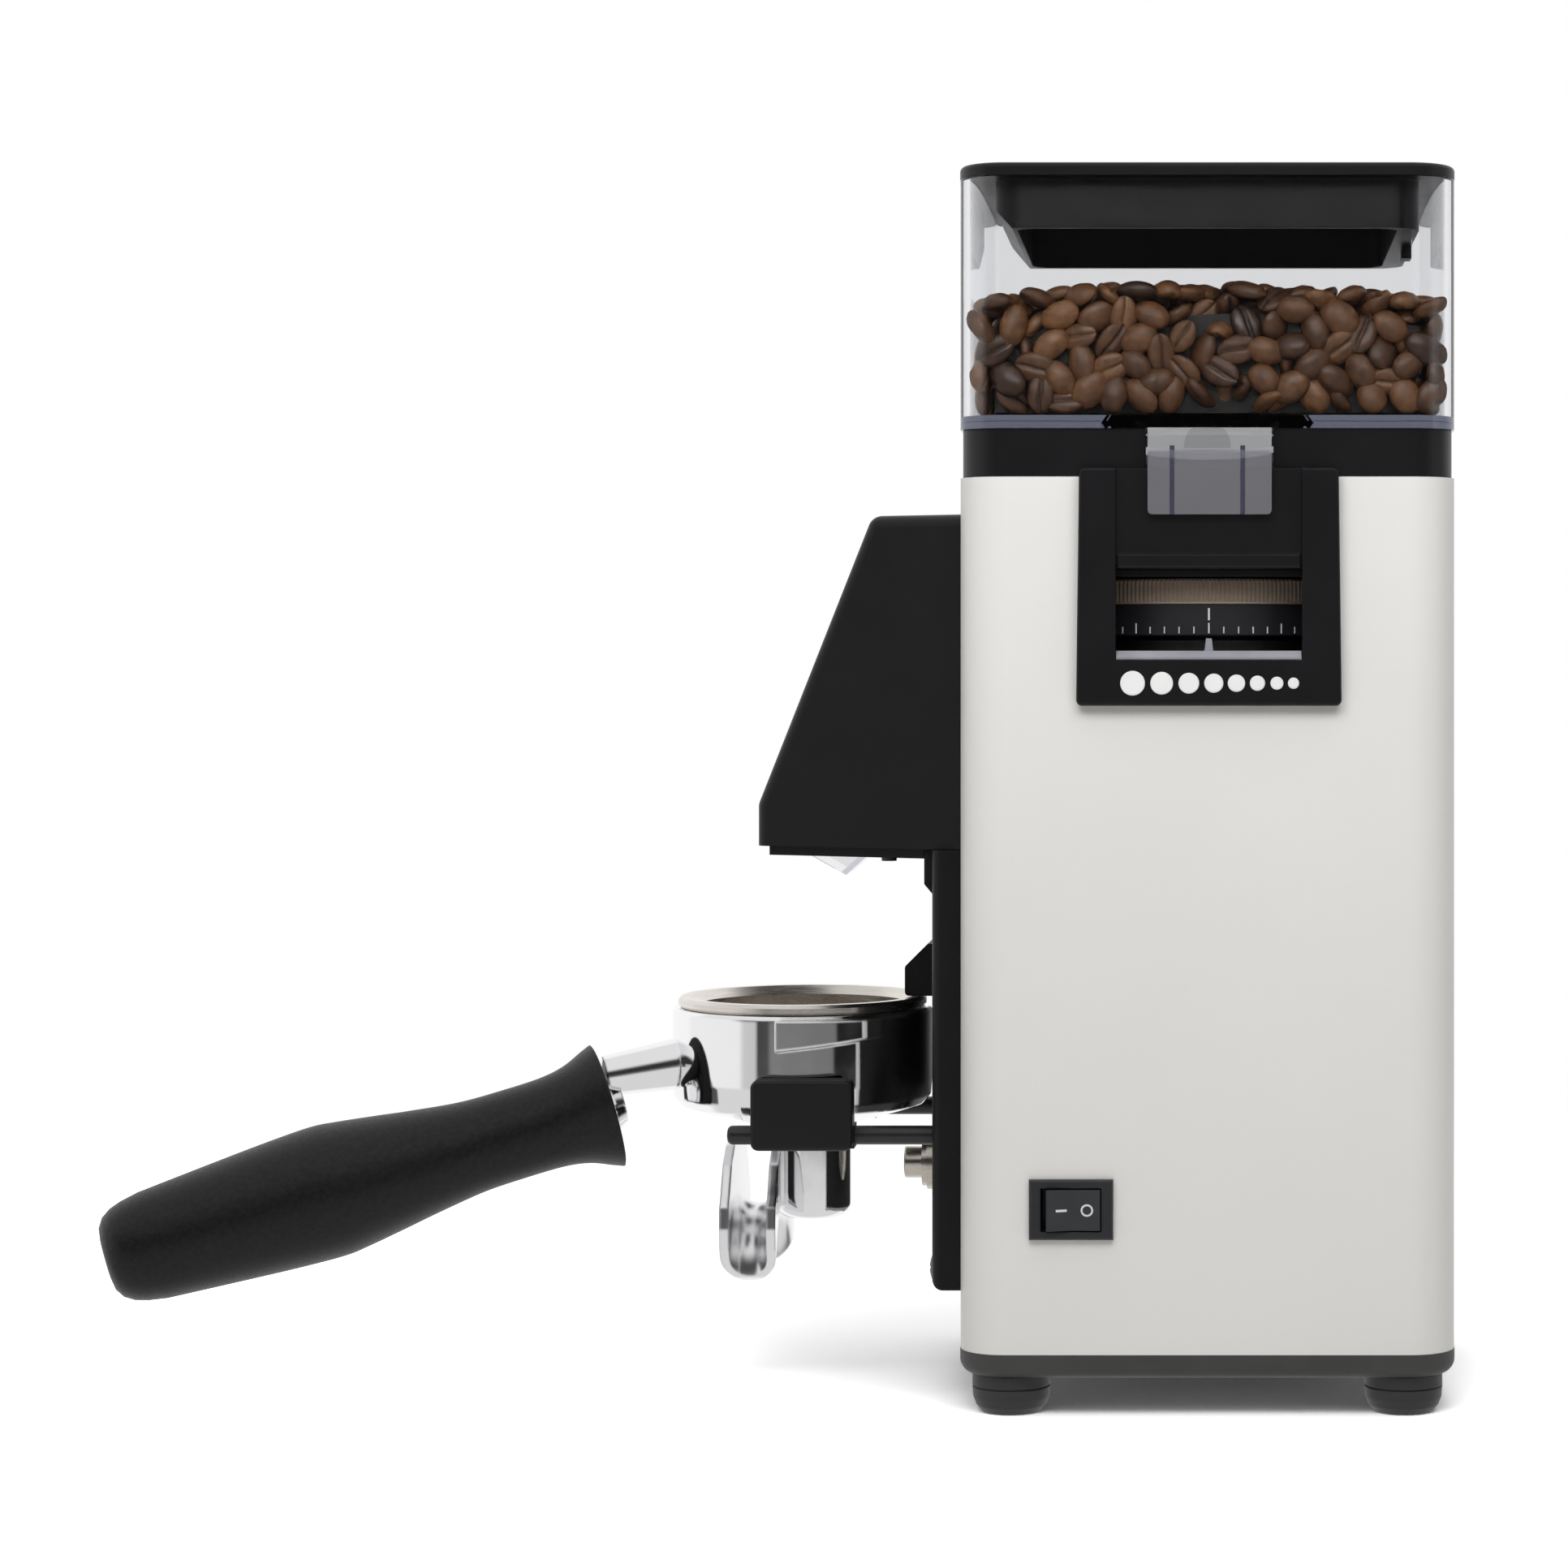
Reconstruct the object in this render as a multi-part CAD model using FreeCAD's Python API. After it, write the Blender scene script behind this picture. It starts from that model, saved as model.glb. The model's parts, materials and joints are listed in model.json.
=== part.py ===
import FreeCAD, Part
import math
import os
from FreeCAD import Vector

# Burr coffee grinder with a portafilter fork. Millimetres, +Z up.
# While it is built, X = Y = 0 is the burr axis, -X is the front (spout side),
# -Y is the side that carries the grind window and the mains switch, and
# Z = 0 is the worktop. The finished set is shifted so that the origin lies
# under the middle of the whole assembly's bounding box.

# ---------------------------------------------------------------- body shell
BODY_HALF_X = 66.4
BODY_HALF_Y = 60.0
BODY_CORNER_R = 12.5
SHELL_WALL = 1.5
SHELL_Z0 = 17.0
SHELL_Z1 = 250.5

# ---------------------------------------------------------------- feet and base
FOOT_R = 10.5
FOOT_FLAT_R = 8.0
FOOT_H = 10.4
FOOT_DOME_H = 6.6
FOOT_X = 52.8
FOOT_Y = 46.3
FOOT_RECESS_R = 4.6
FOOT_RECESS_H = 5.0
FOOT_HOLE_R = 2.2
FOOT_SCREW_HEAD_R = 3.8
FOOT_SCREW_HEAD_H = 2.4
TRAY_Z0 = FOOT_H
TRAY_HALF_X = 66.5
TRAY_HALF_Y = 60.1
TRAY_WALL = 3.0
TRAY_LIP_Z = 24.0
TRAY_EDGE_R = 4.0

BOARD_Z = 26.0
BOARD_T = 1.6
BOARD_POST_X = (-26.0, 34.0)
BOARD_POST_Y = 16.0

# ---------------------------------------------------------------- hopper
COLLAR_INSET = 0.7
COLLAR_WALL = 3.0
COLLAR_Z0 = SHELL_Z1
COLLAR_Z1 = 263.4
DECK_T = 2.5
HOPPER_WALL = 2.5
HOPPER_FLOOR_Z = 267.0
HOPPER_TOP_Z = 330.7
HOPPER_R = 12.0
NECK_IN_R = 19.8
NECK_OUT_R = 21.8
NECK_Z0 = 241.0
FUNNEL_TOP_R = 30.0
FUNNEL_Z0 = 254.0
SOCKET_IN_R = 22.4
SOCKET_OUT_R = 24.6
SOCKET_Z0 = 246.0
TONGUE_X0 = -15.8
TONGUE_X1 = 17.0
TONGUE_Z0 = 240.3
TONGUE_Y0 = -65.0
TONGUE_T = 2.0
TONGUE_RIB_X = (-9.0, 9.6)
LID_Z1 = 334.2
LID_SKIRT_Z0 = 317.6
LID_SKIRT_HALF_X = 57.3
LID_SKIRT_HALF_Y = 51.0
LID_SKIRT_WALL = 2.0
BEAN_TOP_Z = 304.6
BEAN_CROWN_R = 304.0
BEAN_GAP = 0.5

# ---------------------------------------------------------------- grind window
BEZEL_X = 0.4
BEZEL_PROUD = 4.0
BEZEL_Z0 = 189.6
BEZEL_Z1 = 252.7
BEZEL_HALF_TOP = 34.4
BEZEL_HALF_BOTTOM = 35.2
WINDOW_HALF = 24.8
WINDOW_Z0 = 201.8
WINDOW_Z1 = 226.0
SHUTTER_HALF = 24.2
SHUTTER_T = 1.6
SHUTTER_LIP = 0.9
SLIDE_GAP = 0.3
SHUTTER_Z0 = 226.0
SHUTTER_Z1 = 252.6
SHUTTER_Y1 = -60.9
GROOVE_DEPTH = 1.8
WINDOW_FLANGE = 1.8
FLANGE_Z0 = 200.0
FLANGE_Z1 = 228.4
POINTER_Y = -60.4
POINTER_Z1 = 207.5
LEDGE_H = 2.4
DOT_Z = 195.6
DOTS = ((-19.8, 6.55), (-12.1, 6.0), (-4.9, 5.5), (1.7, 5.07), (7.7, 4.6), (13.25, 4.04), (18.4, 3.46),
        (22.8, 2.99))

# ---------------------------------------------------------------- burr set
RING_R = 51.4
RING_Z0 = 216.7
RING_Z1 = 223.7
SCALE_R = 51.0
SCALE_Z0 = 208.2
RING_WEB_R = 31.2
CHAMBER_OUT_R = 46.2
CHAMBER_IN_R = 42.0
CHAMBER_Z0 = 173.0
CHAMBER_FLOOR_Z = 181.0
CHAMBER_Z1 = 207.0
BURR_OUT_R = 29.0
BURR_IN_R = 18.0
BURR_T = 6.0
LOWER_BURR_Z = 187.0
BURR_GAP = 0.35
BURR_SLOTS = 14
CARRIER_T = 4.0
CARRIER_R = 41.5
CARRIER_NECK_R = 30.8
CARRIER_TOP_Z = 238.4
THROAT_R = 17.0
BURR_BOLT_R = 24.0
BURR_SCREW_R = 1.6
GUIDE_Y = 37.0
GUIDE_PIN_R = 2.0
FIT_CLEAR = 0.03

# ---------------------------------------------------------------- motor
SHAFT_R = 5.0
MOTOR_R = 46.0
MOTOR_Z0 = 70.0
MOTOR_Z1 = 170.0
CAN_WALL = 2.0
END_BELL_T = 6.0
STATOR_Z0 = 94.0
STATOR_Z1 = 146.0
WINDING_H = 9.0
ROTOR_R = 25.6
STATOR_IN_R = 26.4
FAN_R = 38.0
FAN_Z0 = 56.0
BEARING_W = 6.0
BEARING_CLEAR = 0.05
UPPER_BEARING_R = 14.0
LOWER_BEARING_R = 11.0
STUD_CIRCLE_R = 49.4
M4_R = 2.0
M4_HOLE_R = 2.1
CHASSIS_T = 3.0
PILLAR_R = 4.0

# ---------------------------------------------------------------- head and chute
FRONT_X = -BODY_HALF_X
HEAD_TOP_Z = 241.2
HEAD_BOTTOM_Z = 150.4
HEAD_FRONT_X = -124.4
HEAD_NOSE_Z = 162.0
HEAD_RIDGE_X = -91.5
HEAD_BACK_HALF_Y = 46.0
HEAD_FRONT_HALF_Y = 19.5
HEAD_EDGE_R = 4.0
HEAD_WALL = 2.5
COVER_T = 2.6
COVER_INSET = 3.0
COVER_SCREW_X = -88.0
COVER_SCREW_Y = 20.0
CHUTE_TIP = (-100.7, 141.9)
CHUTE_SLOPE = 41.7
CHUTE_W = 24.0
CHUTE_H = 14.0
CHUTE_WALL = 1.5
CHUTE_L = 24.0
CHUTE_MOUTH_DEG = 108.8
DUCT_CLEAR = 0.25
DUCT_WALL = 2.0
DUCT_TOP_Z = 187.0

# ---------------------------------------------------------------- control panel
PANEL_W = 30.0
PANEL_H = 50.0
PANEL_T = 1.6
KEY_R = 3.6
KEY_GAP = 0.3
KEY_PLACES = ((-6.5, -14.5), (6.5, -14.5))
LENS_BOX = (-9.9, 9.9, -3.9, 13.9)
LENS_T = 0.9
PANEL_LIFT = 0.05

# ---------------------------------------------------------------- front plate
PLATE_X = -74.4
PLATE_Z0 = 31.8
PLATE_HALF_Y = 46.0
PLATE_WALL = 2.5
PLATE_EDGE_R = 3.0
PLATE_SCREW_Z = 35.6
PLATE_SCREW_Y = 30.0
PLATE_SCREW_DOME_R = 8.6
PLATE_SCREW_RISE = 1.6

# ---------------------------------------------------------------- fork
ROD_R = 2.6
ROD_Y = 34.0
ROD_Z = 72.2
ROD_TIP_X = -130.9
PAD_X0 = -123.6
PAD_X1 = -96.0
PAD_Z0 = 69.0
PAD_Z1 = 88.1
PAD_LEDGE_Z = 75.4
PAD_IN_Y = 37.0
PAD_OUT_Y = 44.0
PAD_LEDGE_Y = 30.4
PAD_CORNER_R = 2.2
PAD_EDGE_R = 1.2
HOOK_X0 = -84.6
HOOK_Z0 = 107.9
HOOK_Z1 = 122.5
HOOK_HALF_Y = 9.0
HOOK_SLOPE = 6.4
HOOK_SCREW_Y = 5.0
HOOK_SCREW_Z = 116.0
M3_R = 1.5
HOOK_SCREW_TIP_X = -80.5
BUTTON_Z = 60.3
BUTTON_CAP_R = 4.4
BUTTON_TIP_X = -85.3
BUTTON_FLANGE_R = 6.65
BUTTON_FLANGE_X = -80.2
BUTTON_SPACER_X = -78.8
BUTTON_NECK_R = 6.3
BUTTON_HOLE_R = 6.4

# ---------------------------------------------------------------- rocker switch
SWITCH_X = -36.2
SWITCH_Z = 55.8
SWITCH_W = 22.4
SWITCH_H = 16.0
SWITCH_PROUD = 2.0
SWITCH_BODY_W = 19.6
SWITCH_BODY_D = 20.0
ROCKER_W = 14.3
ROCKER_H = 10.8
ROCKER_TILT = 7.0
ROCKER_PIVOT_Y = -58.0
ROCKER_PIN_R = 1.5
ROCKER_PIN_HALF = 6.2
SWITCH_BODY_HALF_H = 6.4

# ---------------------------------------------------------------- portafilter
PF_X = -114.0
PF_YAW = 17.0
PF_R = 36.5
PF_RIM_R = 34.8
PF_TOP_Z = 107.5
PF_BODY_TOP_Z = 104.5
PF_BOTTOM_Z = 75.4
PF_WALL = 3.2
BASKET_IN_R = 29.3
BASKET_WALL = 0.8
BASKET_FLOOR_Z = 83.0
EAR_Z0 = 95.0
EAR_Z1 = 103.6
EAR_MID_Z = 96.9
EAR_RAMP = 6.5
EAR_PROUD = 3.2
EAR_SPAN = (-5.0, 39.5)
NECK_ROD_R = 5.6
NECK_TIP_R = 54.0
NECK_SLOPE = 8.0
NECK_ROOT_Z = 89.0
FERRULE_R = 8.0
FERRULE_L = 9.0
HANDLE_START_R = 54.8
HANDLE_START_Z = 78.2
HANDLE_SLOPE = 15.3
HANDLE_PROFILE = ((0.0, 17.6), (3.0, 16.4), (9.0, 13.9), (16.0, 12.7), (27.0, 12.5), (38.6, 12.8),
                  (52.0, 14.5), (61.0, 15.9), (72.0, 17.5), (78.6, 18.15), (90.0, 17.6), (104.7, 16.5),
                  (126.0, 14.75))
HANDLE_END = 139.0
HANDLE_END_R = 8.0
SPOUT_HUB_R = 10.75
SPOUT_Z0 = 45.2
SPOUT_HUB_X = -111.0
GUTTER_X = -126.7
GUTTER_W = 15.5
GUTTER_WALL = 2.6
GUTTER_FLOOR_Z = 48.8
GUTTER_ARCH_R = 24.0
GUTTER_SIDE = ((0, 14), (10, 12.8), (17, 8), (22, 0), (24.5, -3), (25.2, -9), (24.2, -15), (21.5, -20),
               (18.8, -23), (17.0, -24.2), (15.0, -24.3), (12.0, -15), (0, -9))

# ---------------------------------------------------------------- mains entry
GLAND_Z = 34.0
GLAND_BORE_R = 3.75
GLAND_OUT_R = 7.0
GLAND_NECK_R = 5.3
GLAND_COLLAR_L = 6.0

Z_AXIS = Vector(0, 0, 1)
X_AXIS = Vector(1, 0, 0)
Y_AXIS = Vector(0, 1, 0)
ORIGIN = Vector(0, 0, 0)


# ================================================================ shape helpers
def box(x0, x1, y0, y1, z0, z1):
    return Part.makeBox(x1 - x0, y1 - y0, z1 - z0, Vector(x0, y0, z0))


def disc(radius, z0, z1, x=0.0, y=0.0):
    return Part.makeCylinder(radius, z1 - z0, Vector(x, y, z0), Z_AXIS)


def ring(outer, inner, z0, z1, x=0.0, y=0.0):
    return disc(outer, z0, z1, x, y).cut(disc(inner, z0 - 1, z1 + 1, x, y))


def rod_x(radius, x0, x1, y, z):
    return Part.makeCylinder(radius, x1 - x0, Vector(x0, y, z), X_AXIS)


def rod_y(radius, y0, y1, x, z):
    return Part.makeCylinder(radius, y1 - y0, Vector(x, y0, z), Y_AXIS)


def rounded_block(half_x, half_y, radius, z0, z1, x=0.0, y=0.0):
    block = box(x - half_x, x + half_x, y - half_y, y + half_y, z0, z1)
    upright = [e for e in block.Edges if abs(e.Vertexes[0].Z - e.Vertexes[1].Z) > 0.01]
    return block.makeFillet(radius, upright)


def rounded_tube(half_x, half_y, radius, wall, z0, z1):
    outer = rounded_block(half_x, half_y, radius, z0, z1)
    return outer.cut(rounded_block(half_x - wall, half_y - wall, radius - wall, z0 - 1, z1 + 1))


def prism_side(points, y0, y1):
    """Extrude an outline given in (x, z) from y0 to y1."""
    corners = [Vector(x, y0, z) for x, z in points]
    wire = Part.makePolygon(corners + corners[:1])
    return Part.Face(wire).extrude(Vector(0, y1 - y0, 0))


def prism_plan(points, z0, z1):
    """Extrude an outline given in (x, y) from z0 to z1."""
    corners = [Vector(x, y, z0) for x, y in points]
    wire = Part.makePolygon(corners + corners[:1])
    return Part.Face(wire).extrude(Vector(0, 0, z1 - z0))


def turned(profile):
    """Revolve an outline given in (radius, z) about the Z axis."""
    corners = [Vector(r, 0, z) for r, z in profile]
    wire = Part.makePolygon(corners + corners[:1])
    return Part.Face(wire).revolve(ORIGIN, Z_AXIS, 360)


def polar(radius, degrees):
    angle = math.radians(degrees)
    return radius * math.cos(angle), radius * math.sin(angle)


def fillet_where(shape, radius, test):
    """Round the edges for which the test on the edge's bounding box is true."""
    edges = [e for e in shape.Edges if test(e.BoundBox)]
    return shape.makeFillet(radius, edges)


def round_pattern(make, count, start=0.0):
    """Copies of one solid turned about the burr axis, as one group."""
    copies = []
    for i in range(count):
        solid = make()
        solid.rotate(ORIGIN, Z_AXIS, start + i * 360.0 / count)
        copies.append(solid)
    return Part.makeCompound(copies)


def burr_screw_holes(z0, z1, radius):
    return round_pattern(lambda: disc(radius, z0, z1, BURR_BOLT_R, 0), 3, 30)


def stud_holes(z0, z1):
    return round_pattern(lambda: disc(M4_HOLE_R, z0, z1, STUD_CIRCLE_R, 0), 4, 45)


def corner_points(half_x, half_y):
    return [(sx * half_x, sy * half_y) for sx in (-1, 1) for sy in (-1, 1)]


# ================================================================ base and shell
def make_feet():
    seam_in = 0.35
    profile = [(FOOT_HOLE_R, FOOT_RECESS_H), (FOOT_RECESS_R, FOOT_RECESS_H), (FOOT_RECESS_R, 0),
               (FOOT_FLAT_R, 0), (FOOT_R - 1.0, 1.7), (FOOT_R - 0.2, 3.8), (FOOT_R, FOOT_DOME_H),
               (FOOT_R - seam_in, FOOT_DOME_H), (FOOT_R - seam_in, FOOT_DOME_H + 0.4),
               (FOOT_R, FOOT_DOME_H + 0.4), (FOOT_R, FOOT_H), (FOOT_HOLE_R, FOOT_H)]
    feet = []
    for x, y in corner_points(FOOT_X, FOOT_Y):
        foot = turned(profile)
        foot.translate(Vector(x, y, 0))
        feet.append(foot)
    return Part.makeCompound(feet)


def make_foot_screws():
    head_z = FOOT_RECESS_H - FOOT_SCREW_HEAD_H
    screws = []
    for x, y in corner_points(FOOT_X, FOOT_Y):
        head = disc(FOOT_SCREW_HEAD_R, head_z, FOOT_RECESS_H, x, y)
        drive = box(x - 2.4, x + 2.4, y - 0.4, y + 0.4, head_z - 1, head_z + 1)
        shank = disc(M4_R, FOOT_RECESS_H, TRAY_Z0 + TRAY_WALL + 9.0, x, y)
        screws.append(head.cut(drive).fuse(shank))
    return Part.makeCompound(screws)


def make_base_tray():
    lower = rounded_block(TRAY_HALF_X, TRAY_HALF_Y, BODY_CORNER_R, TRAY_Z0, SHELL_Z0)
    lower = fillet_where(lower, TRAY_EDGE_R, lambda b: b.ZMax < TRAY_Z0 + 0.01)
    lip_x = BODY_HALF_X - SHELL_WALL - 0.2
    lip_y = BODY_HALF_Y - SHELL_WALL - 0.2
    lip_r = BODY_CORNER_R - SHELL_WALL - 0.2
    lip = rounded_block(lip_x, lip_y, lip_r, TRAY_Z0 + TRAY_WALL, TRAY_LIP_Z)
    pocket = rounded_block(lip_x - TRAY_WALL, lip_y - TRAY_WALL, lip_r - TRAY_WALL,
                           TRAY_Z0 + TRAY_WALL, TRAY_LIP_Z + 1)
    tray = lower.fuse(lip).cut(pocket)
    for x, y in corner_points(FOOT_X, FOOT_Y):
        tray = tray.cut(disc(FOOT_HOLE_R, TRAY_Z0 - 1, TRAY_Z0 + TRAY_WALL + 1, x, y))
    vent_x0, vent_pitch, vent_count, vent_w, vent_half_y = -21.0, 8.0, 7, 3.0, 22.0
    for i in range(vent_count):
        x = vent_x0 + i * vent_pitch
        tray = tray.cut(box(x - vent_w / 2, x + vent_w / 2, -vent_half_y, vent_half_y, TRAY_Z0 - 1, SHELL_Z0))
    for x in BOARD_POST_X:
        for y in (-BOARD_POST_Y, BOARD_POST_Y):
            tray = tray.fuse(disc(2.4, TRAY_Z0 + 1, BOARD_Z, x, y))
    return tray


def front_opening():
    """Cut in the shell's front for the ground coffee duct."""
    return box(FRONT_X - 1, FRONT_X + SHELL_WALL + 1, -16.5, 16.5, 160.0, 192.0)


def make_body_shell():
    shell = rounded_tube(BODY_HALF_X, BODY_HALF_Y, BODY_CORNER_R, SHELL_WALL, SHELL_Z0, SHELL_Z1)
    shell = shell.cut(front_opening())
    window = box(BEZEL_X - 27.0, BEZEL_X + 27.0, -BODY_HALF_Y - 1, -BODY_HALF_Y + 3, 199.0, 229.0)
    switch_hole = box(SWITCH_X - SWITCH_BODY_W / 2, SWITCH_X + SWITCH_BODY_W / 2, -BODY_HALF_Y - 1,
                      -BODY_HALF_Y + 3, SWITCH_Z - 6.6, SWITCH_Z + 6.6)
    gland_hole = rod_x(GLAND_NECK_R + FIT_CLEAR, BODY_HALF_X - 4, BODY_HALF_X + 1, 0, GLAND_Z)
    button_hole = rod_x(BUTTON_HOLE_R, FRONT_X - 1, FRONT_X + 4, 0, BUTTON_Z)
    shell = shell.cut(window).cut(switch_hole).cut(gland_hole).cut(button_hole)
    for side in (-1, 1):
        shell = shell.cut(rod_x(ROD_R + 0.1, FRONT_X - 1, FRONT_X + 4, side * ROD_Y, ROD_Z))
        shell = shell.cut(rod_x(M4_HOLE_R, FRONT_X - 1, FRONT_X + 4, side * PLATE_SCREW_Y, PLATE_SCREW_Z))
    return shell


# ================================================================ collar, hopper, lid, beans
def tongue_slot():
    gap = 0.6
    return box(TONGUE_X0 - gap, TONGUE_X1 + gap, -BODY_HALF_Y - 1, -40.0, COLLAR_Z0 + DECK_T, COLLAR_Z1 + 1)


def make_top_collar():
    half_x = BODY_HALF_X - COLLAR_INSET
    half_y = BODY_HALF_Y - COLLAR_INSET
    outer_r = BODY_CORNER_R - COLLAR_INSET
    wall = rounded_tube(half_x, half_y, outer_r, COLLAR_WALL, COLLAR_Z0, COLLAR_Z1)
    deck = rounded_block(half_x, half_y, outer_r, COLLAR_Z0, COLLAR_Z0 + DECK_T)
    socket = disc(SOCKET_OUT_R, SOCKET_Z0, COLLAR_Z0 + 1)
    inner_x = BODY_HALF_X - SHELL_WALL - 0.2
    inner_y = BODY_HALF_Y - SHELL_WALL - 0.2
    skirt = rounded_tube(inner_x, inner_y, BODY_CORNER_R - SHELL_WALL - 0.2, 2.0, COLLAR_Z0 - 6.0, COLLAR_Z0)
    collar = wall.fuse([deck, socket, skirt])
    collar = collar.cut(disc(SOCKET_IN_R, SOCKET_Z0 - 1, COLLAR_Z1))
    return collar.cut(tongue_slot())


def make_hopper():
    floor = rounded_block(BODY_HALF_X, BODY_HALF_Y, HOPPER_R, COLLAR_Z1, HOPPER_FLOOR_Z)
    walls = rounded_tube(BODY_HALF_X, BODY_HALF_Y, HOPPER_R, HOPPER_WALL, COLLAR_Z1, HOPPER_TOP_Z)
    funnel_wall = 2.0
    funnel = turned([(0, NECK_Z0), (NECK_OUT_R, NECK_Z0), (NECK_OUT_R, FUNNEL_Z0),
                     (FUNNEL_TOP_R + funnel_wall, COLLAR_Z1 + 1), (0, COLLAR_Z1 + 1)])
    throat = turned([(0, NECK_Z0 - 1), (NECK_IN_R, NECK_Z0 - 1), (NECK_IN_R, FUNNEL_Z0),
                     (FUNNEL_TOP_R, HOPPER_FLOOR_Z), (FUNNEL_TOP_R, HOPPER_FLOOR_Z + 1),
                     (0, HOPPER_FLOOR_Z + 1)])
    bridge = box(TONGUE_X0, TONGUE_X1, TONGUE_Y0, -BODY_HALF_Y + 1, COLLAR_Z1, HOPPER_FLOOR_Z)
    tongue = box(TONGUE_X0, TONGUE_X1, TONGUE_Y0, TONGUE_Y0 + TONGUE_T, TONGUE_Z0, HOPPER_FLOOR_Z)
    tongue = fillet_where(tongue, 1.2, lambda b: b.ZMax < TONGUE_Z0 + 0.01 and b.XLength < 0.01)
    ribs = []
    rib_half, rib_depth, rib_z0 = 0.9, 1.2, 254.0
    for x in TONGUE_RIB_X:
        y_back = TONGUE_Y0 + TONGUE_T
        ribs.append(box(x - rib_half, x + rib_half, y_back - 0.5, y_back + rib_depth, rib_z0, COLLAR_Z1 + 1))
    hopper = floor.fuse([walls, funnel, bridge, tongue] + ribs).cut(throat)
    return hopper.removeSplitter()


def make_hopper_lid():
    top = rounded_block(TRAY_HALF_X, TRAY_HALF_Y, BODY_CORNER_R, HOPPER_TOP_Z, LID_Z1)
    top = fillet_where(top, 1.4, lambda b: b.ZMin > LID_Z1 - 0.01)
    outer = rounded_block(LID_SKIRT_HALF_X, LID_SKIRT_HALF_Y, 8.0, LID_SKIRT_Z0, HOPPER_TOP_Z + 0.5)
    chamfer_x, chamfer_z = 4.8, 5.4
    wedge = prism_side([(-LID_SKIRT_HALF_X - 1, LID_SKIRT_Z0 - 1),
                        (-LID_SKIRT_HALF_X + chamfer_x + 1, LID_SKIRT_Z0 - 1),
                        (-LID_SKIRT_HALF_X - 1, LID_SKIRT_Z0 + chamfer_z + 1.2)], -BODY_HALF_Y, BODY_HALF_Y)
    inner = rounded_block(LID_SKIRT_HALF_X - 3 * LID_SKIRT_WALL, LID_SKIRT_HALF_Y - LID_SKIRT_WALL, 6.0,
                          LID_SKIRT_Z0 - 1, HOPPER_TOP_Z)
    skirt = outer.cut(wedge).cut(inner)
    tooth = box(54.6, LID_SKIRT_HALF_X, -4.0, 4.0, 314.6, LID_SKIRT_Z0 + 4)
    return top.fuse([skirt, tooth]).removeSplitter()


def make_beans():
    half_x = BODY_HALF_X - HOPPER_WALL - BEAN_GAP
    half_y = BODY_HALF_Y - HOPPER_WALL - BEAN_GAP
    corner_r = HOPPER_R - HOPPER_WALL - BEAN_GAP
    heap_z0 = HOPPER_FLOOR_Z + 0.3
    heap = rounded_block(half_x, half_y, corner_r, heap_z0, BEAN_TOP_Z + 1)
    crown = Part.makeSphere(BEAN_CROWN_R, Vector(0, 0, BEAN_TOP_Z - BEAN_CROWN_R))
    neck_r = NECK_IN_R - BEAN_GAP
    mouth_r = FUNNEL_TOP_R - BEAN_GAP - 0.3
    plug_z0 = NECK_Z0 + 0.5
    plug = turned([(0, plug_z0), (neck_r, plug_z0), (neck_r, FUNNEL_Z0), (mouth_r, heap_z0),
                   (mouth_r, HOPPER_FLOOR_Z + 1), (0, HOPPER_FLOOR_Z + 1)])
    return heap.common(crown).fuse(plug)


# ================================================================ grind window
def make_grind_bezel():
    y_front = -BODY_HALF_Y - BEZEL_PROUD
    plate = prism_side([(BEZEL_X - BEZEL_HALF_BOTTOM, BEZEL_Z0), (BEZEL_X + BEZEL_HALF_BOTTOM, BEZEL_Z0),
                        (BEZEL_X + BEZEL_HALF_TOP, BEZEL_Z1), (BEZEL_X - BEZEL_HALF_TOP, BEZEL_Z1)],
                       y_front, -BODY_HALF_Y)
    upright = [e for e in plate.Edges if e.BoundBox.YLength > BEZEL_PROUD - 0.1]
    plate = plate.makeFillet(1.6, upright)
    plate = fillet_where(plate, 0.8, lambda b: b.YMax < y_front + 0.01)
    left = BEZEL_X - WINDOW_HALF
    right = BEZEL_X + WINDOW_HALF
    opening = box(left, right, y_front - 1, -BODY_HALF_Y + 1, WINDOW_Z0, BEZEL_Z1 + 1)
    groove = box(left - GROOVE_DEPTH, right + GROOVE_DEPTH, SHUTTER_Y1 - SHUTTER_T - SLIDE_GAP,
                 SHUTTER_Y1 + SLIDE_GAP, WINDOW_Z0 + 2.6, BEZEL_Z1 + 1)
    flange = box(left - WINDOW_FLANGE, right + WINDOW_FLANGE, -BODY_HALF_Y - 0.2, -BODY_HALF_Y + 3.5,
                 FLANGE_Z0, FLANGE_Z1)
    flange = flange.cut(box(left, right, -BODY_HALF_Y - 1, -BODY_HALF_Y + 5, WINDOW_Z0, WINDOW_Z1))
    back_web = box(left, right, SHUTTER_Y1 + SLIDE_GAP, -BODY_HALF_Y, WINDOW_Z1, BEZEL_Z1 - 1)
    return plate.cut(opening).cut(groove).fuse([flange, back_web]).removeSplitter()


def make_window_shutter():
    left = BEZEL_X - SHUTTER_HALF
    right = BEZEL_X + SHUTTER_HALF
    half_guide = WINDOW_HALF + GROOVE_DEPTH - 0.4
    y_face = SHUTTER_Y1 - SHUTTER_T
    panel = box(left, right, y_face, SHUTTER_Y1, SHUTTER_Z0, SHUTTER_Z1)
    guides = box(BEZEL_X - half_guide, BEZEL_X + half_guide, y_face, SHUTTER_Y1, SHUTTER_Z0 + 1, SHUTTER_Z1)
    lip = box(left, right, y_face - SHUTTER_LIP, SHUTTER_Y1, SHUTTER_Z0, SHUTTER_Z0 + 4)
    lip = fillet_where(lip, 0.8, lambda b: b.YMax < y_face - 0.8 and b.XLength > 10)
    return panel.fuse([guides, lip]).removeSplitter()


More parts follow.
